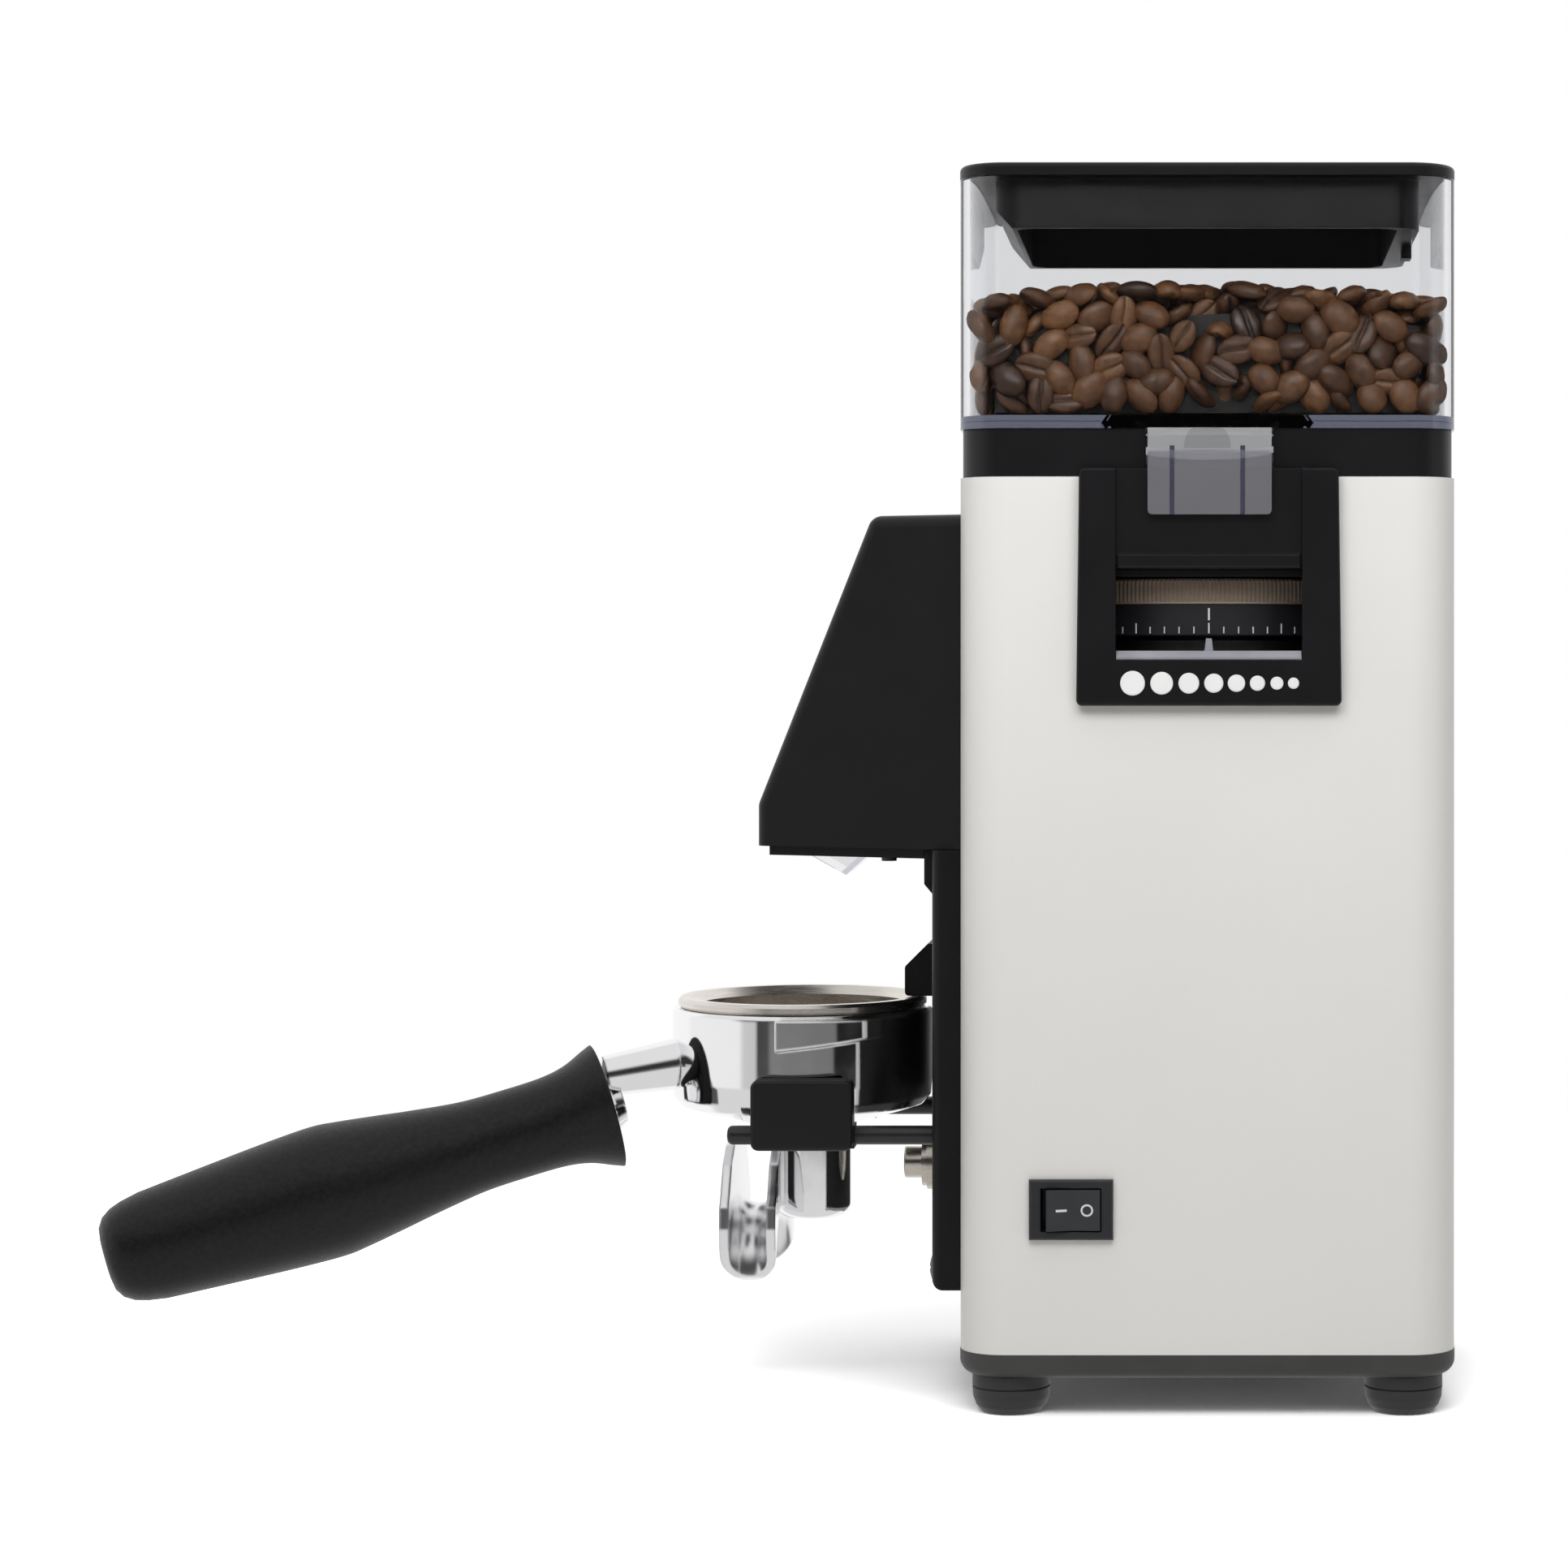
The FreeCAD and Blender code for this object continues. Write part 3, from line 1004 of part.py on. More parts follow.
# ================================================================ dose button
def make_button_housing():
    flange = rod_x(BUTTON_FLANGE_R, BUTTON_FLANGE_X, BUTTON_SPACER_X, 0, BUTTON_Z)
    neck = rod_x(BUTTON_NECK_R, BUTTON_SPACER_X, FRONT_X + 10, 0, BUTTON_Z)
    spacer = rod_x(7.6, BUTTON_SPACER_X, PLATE_X, 0, BUTTON_Z)
    bore = rod_x(BUTTON_CAP_R + 0.3, BUTTON_FLANGE_X - 1, FRONT_X + 6, 0, BUTTON_Z)
    plunger_hole = rod_x(2.0, FRONT_X, FRONT_X + 11, 0, BUTTON_Z)
    return flange.fuse([neck, spacer]).cut(bore).cut(plunger_hole)


def make_dose_button():
    cap = rod_x(BUTTON_CAP_R, BUTTON_TIP_X, BUTTON_TIP_X + 11, 0, BUTTON_Z)
    cap = cap.makeFillet(0.6, [e for e in cap.Edges if e.BoundBox.XMax < BUTTON_TIP_X + 0.01])
    return cap.fuse(rod_x(2.0, BUTTON_TIP_X + 11, FRONT_X + 2, 0, BUTTON_Z))


def make_microswitch():
    body = box(FRONT_X + 10, FRONT_X + 18, -10, 10, BUTTON_Z - 8, BUTTON_Z + 4)
    return body.fuse(rod_x(1.6, FRONT_X + 5.5, FRONT_X + 10.5, 0, BUTTON_Z))


# ================================================================ rocker switch
def make_switch_frame():
    y0 = -BODY_HALF_Y - SWITCH_PROUD
    frame = box(SWITCH_X - SWITCH_W / 2, SWITCH_X + SWITCH_W / 2, y0, -BODY_HALF_Y, SWITCH_Z - SWITCH_H / 2,
                SWITCH_Z + SWITCH_H / 2)
    frame = fillet_where(frame, 0.8, lambda b: b.YMax < y0 + 0.01)
    half_w = SWITCH_BODY_W / 2 - 0.2
    body = box(SWITCH_X - half_w, SWITCH_X + half_w, -BODY_HALF_Y - 0.1, -BODY_HALF_Y + SWITCH_BODY_D,
               SWITCH_Z - SWITCH_BODY_HALF_H, SWITCH_Z + SWITCH_BODY_HALF_H)
    well_half_w = ROCKER_W / 2 + 0.9
    well_half_h = ROCKER_H / 2 + 0.4
    well = box(SWITCH_X - well_half_w, SWITCH_X + well_half_w, y0 - 1, -BODY_HALF_Y + 7.5,
               SWITCH_Z - well_half_h, SWITCH_Z + well_half_h)
    pivot_hole = disc(ROCKER_PIN_R + 0.1, SWITCH_Z - SWITCH_BODY_HALF_H - 1, SWITCH_Z + SWITCH_BODY_HALF_H + 1,
                      SWITCH_X, ROCKER_PIVOT_Y)
    tab_y = -BODY_HALF_Y + SWITCH_BODY_D
    tab_half_t, tab_half_h, tab_l, tab_pitch = 0.4, 3.1, 7.0, 6.0
    terminals = []
    for i in (-1, 0, 1):
        x = SWITCH_X + i * tab_pitch
        terminals.append(box(x - tab_half_t, x + tab_half_t, tab_y, tab_y + tab_l,
                             SWITCH_Z - tab_half_h, SWITCH_Z + tab_half_h))
    return frame.fuse(body).cut(well).cut(pivot_hole).fuse(terminals)


def make_rocker():
    half_w = ROCKER_W / 2
    y_edge = -BODY_HALF_Y - SWITCH_PROUD - 1.4
    y_dip = y_edge + 1.3
    y_side = y_edge + 4.0
    y_back = ROCKER_PIVOT_Y + 3.8
    outline = [(-half_w, y_edge), (0.0, y_dip), (half_w, y_edge), (half_w, y_side), (2.5, y_back),
               (-2.5, y_back), (-half_w, y_side)]
    z0 = SWITCH_Z - ROCKER_H / 2
    rocker = prism_plan([(SWITCH_X + x, y) for x, y in outline], z0, z0 + ROCKER_H)
    rocker = rocker.fuse(disc(ROCKER_PIN_R, SWITCH_Z - ROCKER_PIN_HALF, SWITCH_Z + ROCKER_PIN_HALF,
                              SWITCH_X, ROCKER_PIVOT_Y))
    rocker.rotate(Vector(SWITCH_X, ROCKER_PIVOT_Y, 0), Z_AXIS, ROCKER_TILT)
    return rocker


# ================================================================ portafilter
def turn_portafilter(shape):
    """Place a shape drawn about X = Y = 0, handle along -X, on the fork."""
    moved = shape.copy()
    moved.rotate(ORIGIN, Z_AXIS, PF_YAW)
    moved.translate(Vector(PF_X, 0, 0))
    return moved


def along_handle(shape):
    """Lay a shape turned about +Z along the handle's axis, before the portafilter is turned."""
    moved = shape.copy()
    moved.rotate(ORIGIN, Y_AXIS, -90 - HANDLE_SLOPE)
    moved.translate(Vector(-HANDLE_START_R, 0, HANDLE_START_Z))
    return moved


def make_portafilter_body():
    lip_z = PF_BODY_TOP_Z
    outer = turned([(0, PF_BOTTOM_Z - 4.0), (16.0, PF_BOTTOM_Z - 3.4), (29.5, PF_BOTTOM_Z + 0.4),
                    (34.2, PF_BOTTOM_Z + 1.9), (PF_R - 0.4, PF_BOTTOM_Z + 4.4), (PF_R, PF_BOTTOM_Z + 9.0),
                    (PF_R, lip_z - 1.0), (PF_R - 0.8, lip_z), (0, lip_z)])
    inner = turned([(0, PF_BOTTOM_Z), (26.0, PF_BOTTOM_Z + 0.8), (PF_R - PF_WALL, PF_BOTTOM_Z + 6.0),
                    (PF_R - PF_WALL, lip_z + 1), (0, lip_z + 1)])
    body = outer.cut(inner)
    body = body.cut(disc(4.0, PF_BOTTOM_Z - 8, PF_BOTTOM_Z + 2))
    ears = []
    for offset in (0.0, 180.0):
        ear = ring(PF_R + EAR_PROUD, PF_R - 1.0, EAR_Z0, EAR_Z1)
        start = -90.0 - PF_YAW + EAR_SPAN[0] + offset
        step = (EAR_SPAN[1] - EAR_SPAN[0]) / 3.0
        sector = [(0.0, 0.0)] + [polar(60.0, start + step * i) for i in range(4)]
        ear = ear.common(prism_plan(sector, EAR_Z0, EAR_Z1))
        below = box(-60, 60, -60, 60, EAR_Z0 - 20, EAR_MID_Z)
        below.rotate(Vector(0, 0, EAR_MID_Z), Vector(*polar(1.0, start + 1.5 * step), 0), EAR_RAMP)
        ears.append(ear.cut(below))
    neck_len = NECK_TIP_R - PF_R + 4.0
    root = Vector(-PF_R + 2.0, 0, NECK_ROOT_Z)
    neck = Part.makeCone(NECK_ROD_R + 1.6, NECK_ROD_R, neck_len, root, -X_AXIS)
    neck.rotate(Vector(-PF_R, 0, NECK_ROOT_Z), Y_AXIS, -NECK_SLOPE)
    neck = neck.cut(disc(PF_R - 1.0, PF_BOTTOM_Z - 10, PF_TOP_Z + 10))
    ferrule = turned([(0, FERRULE_L), (FERRULE_R, FERRULE_L), (FERRULE_R, 0.0), (FERRULE_R - 0.4, -1.2),
                      (6.2, -4.0), (0, -4.0)])
    return turn_portafilter(body.fuse(ears + [neck, along_handle(ferrule)]))


def make_filter_basket():
    top = PF_TOP_Z
    seat = PF_BODY_TOP_Z + 0.1
    floor_r = 26.2
    floor_top = BASKET_FLOOR_Z + BASKET_WALL
    shell_out = BASKET_IN_R + BASKET_WALL
    outside = [(0, BASKET_FLOOR_Z), (floor_r + 0.3, BASKET_FLOOR_Z), (shell_out, BASKET_FLOOR_Z + 4),
               (shell_out, seat), (PF_RIM_R - 0.7, seat), (PF_RIM_R, seat + 0.7), (PF_RIM_R, top - 0.9)]
    inside = [(PF_RIM_R - 0.9, top), (PF_RIM_R - 3.4, top), (BASKET_IN_R, top - 2.4),
              (BASKET_IN_R, BASKET_FLOOR_Z + 4.4), (floor_r, floor_top), (0, floor_top)]
    basket = turned(outside + inside)
    return turn_portafilter(basket)


def make_basket_spring():
    """Open wire loop in the holder's groove that grips the basket."""
    wire_r = 0.6
    loop = Part.makeTorus(PF_R - PF_WALL - wire_r - 0.1, wire_r, Vector(0, 0, 98.0), Z_AXIS)
    return turn_portafilter(loop.cut(box(0, 60, -4, 4, 90, 104)))


def gutter_section(outer, depth):
    """U outline, open upwards, on the plane Y = 0; its round bottom is centred on the origin."""
    left = Vector(-outer, 0, 0)
    right = Vector(outer, 0, 0)
    up = Vector(0, 0, depth)
    edges = [Part.Arc(left, Vector(0, 0, -outer), right).toShape(),
             Part.LineSegment(right, right + up).toShape(),
             Part.LineSegment(right + up, left + up).toShape(),
             Part.LineSegment(left + up, left).toShape()]
    return Part.Face(Part.Wire(edges))


def gutter_sweep(outer, depth, angle):
    """Turn the U outline over the arch, half each way from the crest."""
    centre = Vector(0, 0, -GUTTER_ARCH_R)
    halves = []
    for sign in (-1, 1):
        halves.append(gutter_section(outer, depth).revolve(centre, Vector(sign, 0, 0), angle))
    return halves[0].fuse(halves[1])


def make_portafilter_spout():
    """Double spout: an open gutter beside the hub, with both ends turned down."""
    hub_top = PF_BOTTOM_Z - 4.0
    hub = disc(SPOUT_HUB_R, SPOUT_Z0, hub_top, SPOUT_HUB_X, 0)
    hub = hub.makeFillet(4.0, [e for e in hub.Edges if e.BoundBox.ZMax < SPOUT_Z0 + 0.01])
    stud = disc(3.8, hub_top - 1.0, PF_BOTTOM_Z + 2.0, PF_X, 0)
    half_w = GUTTER_W / 2
    wall_rise = GUTTER_SIDE[0][1]
    outer = gutter_sweep(half_w, wall_rise, 90)
    outline = GUTTER_SIDE + tuple((-y, z) for y, z in reversed(GUTTER_SIDE[1:-1]))
    corners = [Vector(-20, y, z) for y, z in outline]
    trim = Part.Face(Part.makePolygon(corners + corners[:1])).extrude(Vector(40, 0, 0))
    inner = gutter_sweep(half_w - GUTTER_WALL, wall_rise + 8, 95)
    foot_z = min(z for _, z in GUTTER_SIDE) + half_w
    round_foot = rod_y(half_w, -40, 40, 0, foot_z).fuse(box(-half_w, half_w, -40, 40, foot_z, wall_rise))
    outer = outer.common(trim).common(round_foot)
    spot = Vector(GUTTER_X, 0, GUTTER_FLOOR_Z + half_w - GUTTER_WALL)
    outer.translate(spot)
    inner.translate(spot)
    feed = rod_x(2.8, GUTTER_X, SPOUT_HUB_X, 0, 58.0)
    return outer.fuse([hub, stud]).cut(inner).cut(feed)


def make_handle():
    curve = Part.BSplineCurve()
    curve.interpolate([Vector(r, 0, t) for t, r in HANDLE_PROFILE])
    end_t, end_r = HANDLE_PROFILE[-1]
    corner = HANDLE_END_R
    shoulder = Vector(end_r - 1.0, 0, HANDLE_END - corner)
    start = Vector(end_r, 0, end_t)
    axis_end = Vector(0, 0, HANDLE_END)
    tip = Vector(end_r - 1.0 - corner * 0.95, 0, HANDLE_END)
    mid = Vector(end_r - 1.0 - corner * 0.3, 0, HANDLE_END - corner * 0.32)
    side_line = Part.LineSegment(start, shoulder)
    nose = Part.Arc(shoulder, mid, tip)
    mouth_r = HANDLE_PROFILE[0][1]
    edges = [curve.toShape(), side_line.toShape(), nose.toShape(),
             Part.LineSegment(tip, axis_end).toShape(),
             Part.LineSegment(axis_end, ORIGIN).toShape(),
             Part.LineSegment(ORIGIN, Vector(mouth_r, 0, 0)).toShape()]
    solid = Part.Face(Part.Wire(edges)).revolve(ORIGIN, Z_AXIS, 360)
    bore = disc(FERRULE_R + 0.05, -1, FERRULE_L)
    return turn_portafilter(along_handle(solid.cut(bore)))


# ================================================================ mains entry
def make_cable_gland():
    """Grommet flush with the back: a neck through the shell's hole and a collar behind it."""
    inside = BODY_HALF_X - SHELL_WALL
    back = inside - GLAND_COLLAR_L
    neck = rod_x(GLAND_NECK_R, back, BODY_HALF_X, 0, GLAND_Z)
    collar = rod_x(GLAND_OUT_R, back, inside, 0, GLAND_Z)
    collar = fillet_where(collar, 1.0, lambda b: b.XMax < back + 0.01)
    return neck.fuse(collar).cut(rod_x(GLAND_BORE_R, back - 1, BODY_HALF_X + 1, 0, GLAND_Z))


# ================================================================ the whole set
def make_assembly():
    """Every separate piece, by node name, in building position."""
    parts = {
        "feet": make_feet(),
        "foot_screws": make_foot_screws(),
        "base_tray": make_base_tray(),
        "body_shell": make_body_shell(),
        "top_collar": make_top_collar(),
        "hopper": make_hopper(),
        "hopper_lid": make_hopper_lid(),
        "coffee_beans": make_beans(),
        "grind_bezel": make_grind_bezel(),
        "window_shutter": make_window_shutter(),
        "index_ledge": make_index_ledge(),
        "grind_size_dots": make_grind_size_dots(),
        "adjust_ring": make_adjust_ring(),
        "scale_ring": make_scale_ring(),
        "ring_retainer": make_ring_retainer(),
        "upper_burr_carrier": make_upper_burr_carrier(),
        "upper_burr": make_burr(LOWER_BURR_Z + BURR_T + BURR_GAP, False),
        "upper_burr_screws": make_burr_screws(LOWER_BURR_Z + BURR_T + BURR_GAP + 1.0,
                                              LOWER_BURR_Z + 2 * BURR_T + BURR_GAP + 2.5, False),
        "lower_burr": make_burr(LOWER_BURR_Z, True),
        "lower_burr_screws": make_burr_screws(LOWER_BURR_Z - 4.0, LOWER_BURR_Z + BURR_T - 1.5, True),
        "lower_burr_carrier": make_lower_burr_carrier(),
        "burr_nut": make_burr_nut(),
        "grinding_chamber": make_grinding_chamber(),
        "chamber_screws": make_chamber_screws(),
        "outlet_duct": make_outlet_duct(),
        "clear_chute": make_clear_chute(),
        "chassis_plate": make_chassis_plate(),
        "frame_pillars": make_frame_pillars(),
        "motor_can": make_motor_can(),
        "motor_end_bell": make_motor_end_bell(),
        "stator_core": make_stator(),
        "stator_windings": make_windings(),
        "rotor": make_rotor(),
        "motor_shaft": make_shaft(),
        "ball_bearings": make_bearings(),
        "cooling_fan": make_fan(),
        "control_board": make_control_board(),
        "spout_housing": make_spout_housing(),
        "control_panel": make_control_panel(),
        "display_lens": make_display_lens(),
        "head_bottom_cover": make_head_bottom_cover(),
        "bottom_cover_screws": make_bottom_cover_screws(),
        "front_plate": make_front_plate(),
        "front_plate_screws": make_front_plate_screws(),
        "fork_rods": make_fork_rods(),
        "fork_pads": Part.makeCompound([make_fork_pad(-1), make_fork_pad(1)]),
        "rim_hook": make_rim_hook(),
        "button_housing": make_button_housing(),
        "dose_button": make_dose_button(),
        "microswitch": make_microswitch(),
        "switch_frame": make_switch_frame(),
        "rocker": make_rocker(),
        "portafilter_body": make_portafilter_body(),
        "filter_basket": make_filter_basket(),
        "basket_spring": make_basket_spring(),
        "portafilter_spout": make_portafilter_spout(),
        "portafilter_handle": make_handle(),
        "cable_gland": make_cable_gland(),
    }
    for i, name in enumerate(("single_dose_key", "double_dose_key")):
        parts[name] = make_key(i)
    return parts


def main():
    os.makedirs("parts", exist_ok=True)
    for old in os.listdir("parts"):
        os.remove(os.path.join("parts", old))
    parts = make_assembly()
    whole = FreeCAD.BoundBox()
    for shape in parts.values():
        whole.add(shape.optimalBoundingBox(True, False))
    shift = Vector(-(whole.XMin + whole.XMax) / 2, -(whole.YMin + whole.YMax) / 2, -whole.ZMin)
    for name, shape in parts.items():
        shape.translate(shift)
        shape.exportStep(f"parts/{name}.step")
    print("parts", len(parts), "size", whole.XLength, whole.YLength, whole.ZLength)
    print("burr axis at", shift.x, shift.y, shift.z)


main()
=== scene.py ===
import json
import math

import bmesh
import bpy
import numpy as np
from mathutils import Matrix, Vector


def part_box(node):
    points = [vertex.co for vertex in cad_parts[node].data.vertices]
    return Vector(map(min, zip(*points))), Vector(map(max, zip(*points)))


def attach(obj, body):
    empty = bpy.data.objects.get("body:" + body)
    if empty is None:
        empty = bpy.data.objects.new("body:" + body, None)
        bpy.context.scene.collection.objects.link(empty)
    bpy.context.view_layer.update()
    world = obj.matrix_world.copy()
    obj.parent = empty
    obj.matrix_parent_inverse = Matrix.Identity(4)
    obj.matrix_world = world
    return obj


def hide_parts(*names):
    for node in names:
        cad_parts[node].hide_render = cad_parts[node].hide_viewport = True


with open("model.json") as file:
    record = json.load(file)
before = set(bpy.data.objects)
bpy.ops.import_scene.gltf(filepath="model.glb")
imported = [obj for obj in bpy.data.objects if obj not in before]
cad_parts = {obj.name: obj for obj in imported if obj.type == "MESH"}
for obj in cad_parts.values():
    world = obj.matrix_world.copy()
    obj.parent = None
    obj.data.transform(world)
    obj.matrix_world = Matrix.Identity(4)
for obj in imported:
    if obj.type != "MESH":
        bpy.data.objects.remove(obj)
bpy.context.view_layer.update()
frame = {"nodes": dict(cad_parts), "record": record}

# Sizes of the object are in millimetres from the burr axis on the worktop; MM turns them into metres.
MM = 0.001

# ------------------------------------------------------------------ places, from the frame
shell_low, shell_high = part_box("body_shell")
BODY_X = (shell_low.x + shell_high.x) / 2
BODY_Y = (shell_low.y + shell_high.y) / 2
basket_low, basket_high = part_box("filter_basket")
CUP_X = (basket_low.x + basket_high.x) / 2
CUP_Y = (basket_low.y + basket_high.y) / 2
HANDLE_YAW = math.radians(17.0)


def spot(x, y, z):
    """A point given in millimetres from the burr axis on the worktop."""
    return Vector((BODY_X + x * MM, BODY_Y + y * MM, z * MM))


# ------------------------------------------------------------------ mesh helpers
def add_mesh(name, verts, faces, material, body, smooth=True):
    mesh = bpy.data.meshes.new(name)
    mesh.from_pydata([tuple(v) for v in verts], [], faces)
    mesh.validate()
    mesh.update()
    piece = bpy.data.objects.new(name, mesh)
    bpy.context.scene.collection.objects.link(piece)
    mesh.materials.append(material)
    for polygon in mesh.polygons:
        polygon.use_smooth = smooth
    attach(piece, body)
    return piece


def face_outward(piece):
    work = bmesh.new()
    work.from_mesh(piece.data)
    bmesh.ops.recalc_face_normals(work, faces=work.faces)
    work.to_mesh(piece.data)
    work.free()
    return piece


def turned(profile, segments):
    """Vertices and faces of an outline (radius, z) turned about Z."""
    verts = []
    for i in range(segments):
        angle = math.radians(360.0 * i / segments)
        verts += [(r * math.cos(angle), r * math.sin(angle), z) for r, z in profile]
    faces = []
    n = len(profile)
    for i in range(segments):
        a = i * n
        b = ((i + 1) % segments) * n
        for k in range(n - 1):
            faces.append((a + k, b + k, b + k + 1, a + k + 1))
    return verts, faces


def hoop_faces(steps, count):
    """Faces of a closed outline of count points, carried round a closed ring in steps."""
    faces = []
    for i in range(steps):
        a = i * count
        b = ((i + 1) % steps) * count
        for k in range(count):
            faces.append((a + k, b + k, b + (k + 1) % count, a + (k + 1) % count))
    return faces


# Faces of a thin four-sided plate whose first four points are its back and next four its front.
PLATE_FACES = [(4, 5, 6, 7), (0, 3, 2, 1), (0, 1, 5, 4), (1, 2, 6, 5), (2, 3, 7, 6), (3, 0, 4, 7)]


def placed(verts, matrix):
    return [matrix @ Vector(v) for v in verts]


def smooth_curve(points, steps):
    """Catmull-Rom curve through the points."""
    pts = [Vector(p) for p in points]
    pts = [pts[0] * 2 - pts[1]] + pts + [pts[-1] * 2 - pts[-2]]
    out = []
    for i in range(1, len(pts) - 2):
        p0, p1, p2, p3 = pts[i - 1:i + 3]
        for k in range(steps):
            t = k / steps
            out.append(0.5 * (2 * p1 + (p2 - p0) * t + (2 * p0 - 5 * p1 + 4 * p2 - p3) * t * t
                              + (3 * p1 - p0 - 3 * p2 + p3) * t ** 3))
    out.append(pts[-2])
    return out


def write_values(piece, key, values):
    """Store one number per vertex for the material to read."""
    attribute = piece.data.attributes.new(key, "FLOAT", "POINT")
    attribute.data.foreach_set("value", values)


# ------------------------------------------------------------------ material helpers
def material(name, colour, rough=0.5, metal=0.0, **sockets):
    mat = bpy.data.materials.new(name)
    mat.use_nodes = True
    shader = mat.node_tree.nodes["Principled BSDF"]
    shader.inputs["Base Color"].default_value = (*colour, 1.0)
    shader.inputs["Roughness"].default_value = rough
    shader.inputs["Metallic"].default_value = metal
    for key, value in sockets.items():
        shader.inputs[key.replace("_", " ")].default_value = value
    return mat


def shader_of(mat):
    return mat.node_tree.nodes["Principled BSDF"]


def place_node(mat, scale=(1, 1, 1)):
    tree = mat.node_tree
    coords = tree.nodes.new("ShaderNodeTexCoord")
    mapping = tree.nodes.new("ShaderNodeMapping")
    mapping.inputs["Scale"].default_value = scale
    tree.links.new(coords.outputs["Object"], mapping.inputs["Vector"])
    return mapping.outputs["Vector"]


def noise_node(mat, scale, detail=3.0, stretch=(1, 1, 1), rough=0.55):
    tree = mat.node_tree
    noise = tree.nodes.new("ShaderNodeTexNoise")
    noise.inputs["Scale"].default_value = scale
    noise.inputs["Detail"].default_value = detail
    noise.inputs["Roughness"].default_value = rough
    tree.links.new(place_node(mat, stretch), noise.inputs["Vector"])
    return noise.outputs["Fac"]


def add_bump(mat, height, distance, strength=1.0, below=None):
    tree = mat.node_tree
    bump = tree.nodes.new("ShaderNodeBump")
    bump.inputs["Distance"].default_value = distance
    bump.inputs["Strength"].default_value = strength
    tree.links.new(height, bump.inputs["Height"])
    if below is not None:
        tree.links.new(below, bump.inputs["Normal"])
    tree.links.new(bump.outputs["Normal"], shader_of(mat).inputs["Normal"])
    return bump.outputs["Normal"]


def fill_ramp(ramp, stops):
    """Set a colour ramp's stops, given in rising order."""
    elements = ramp.color_ramp.elements
    elements.remove(elements[1])
    elements[0].position = stops[0][0]
    elements[0].color = (*stops[0][1], 1.0)
    for at, colour in stops[1:]:
        elements.new(at).color = (*colour, 1.0)


def ramp_node(mat, factor, stops):
    tree = mat.node_tree
    ramp = tree.nodes.new("ShaderNodeValToRGB")
    fill_ramp(ramp, stops)
    tree.links.new(factor, ramp.inputs["Fac"])
    return ramp.outputs["Color"]


def vary_colour(mat, scale, low, high, detail=4.0, spread=(0.35, 0.65), stretch=(1, 1, 1)):
    colour = ramp_node(mat, noise_node(mat, scale, detail, stretch), [(spread[0], low), (spread[1], high)])
    mat.node_tree.links.new(colour, shader_of(mat).inputs["Base Color"])


def vary_rough(mat, scale, low, high, detail=4.0, stretch=(1, 1, 1)):
    tree = mat.node_tree
    remap = tree.nodes.new("ShaderNodeMapRange")
    remap.inputs["From Min"].default_value = 0.3
    remap.inputs["From Max"].default_value = 0.7
    remap.inputs["To Min"].default_value = low
    remap.inputs["To Max"].default_value = high
    tree.links.new(noise_node(mat, scale, detail, stretch), remap.inputs["Value"])
    tree.links.new(remap.outputs["Result"], shader_of(mat).inputs["Roughness"])


def xyz_of(tree, space):
    """The three coordinates of a texture space."""
    coords = tree.nodes.new("ShaderNodeTexCoord")
    parts = tree.nodes.new("ShaderNodeSeparateXYZ")
    tree.links.new(coords.outputs[space], parts.inputs["Vector"])
    return parts.outputs


def attribute_of(tree, key):
    node = tree.nodes.new("ShaderNodeAttribute")
    node.attribute_name = key
    return node.outputs["Fac"]


def math_node(tree, operation, first, second=None):
    node = tree.nodes.new("ShaderNodeMath")
    node.operation = operation
    for socket, value in zip(node.inputs, (first, second)):
        if value is None:
            continue
        if isinstance(value, (int, float)):
            socket.default_value = value
        else:
            tree.links.new(value, socket)
    return node.outputs["Value"]


def mix_colour(tree, factor, first, second, blend="MIX"):
    """Mix of two colours, each a socket, a colour or a grey level."""
    node = tree.nodes.new("ShaderNodeMix")
    node.data_type = "RGBA"
    node.blend_type = blend
    if isinstance(factor, float):
        node.inputs["Factor"].default_value = factor
    else:
        tree.links.new(factor, node.inputs["Factor"])
    for name, value in (("A", first), ("B", second)):
        if isinstance(value, float):
            node.inputs[name].default_value = (value, value, value, 1.0)
        elif isinstance(value, tuple):
            node.inputs[name].default_value = (*value, 1.0)
        else:
            tree.links.new(value, node.inputs[name])
    return node.outputs["Result"]


def mix_shader(tree, factor, first, second):
    node = tree.nodes.new("ShaderNodeMixShader")
    tree.links.new(factor, node.inputs["Fac"])
    tree.links.new(first, node.inputs[1])
    tree.links.new(second, node.inputs[2])
    return node.outputs["Shader"]


def matt(tree, colour):
    """Plain matt surface; the colour is a socket or a colour."""
    node = tree.nodes.new("ShaderNodeBsdfDiffuse")
    if isinstance(colour, tuple):
        node.inputs["Color"].default_value = (*colour, 1.0)
    else:
        tree.links.new(colour, node.inputs["Color"])
    return node.outputs["BSDF"]


def smooth_step(tree, value, low, high):
    node = tree.nodes.new("ShaderNodeMapRange")
    node.interpolation_type = "SMOOTHSTEP"
    node.inputs["From Min"].default_value = low
    node.inputs["From Max"].default_value = high
    tree.links.new(value, node.inputs["Value"])
    return node.outputs["Result"]


def soft_edge(tree, radius, samples):
    """Normal that shades the edges as if rounded by the radius."""
    node = tree.nodes.new("ShaderNodeBevel")
    node.samples = samples
    node.inputs["Radius"].default_value = radius
    return node.outputs["Normal"]


def scaled(colour, factor):
    return tuple(c * factor for c in colour)


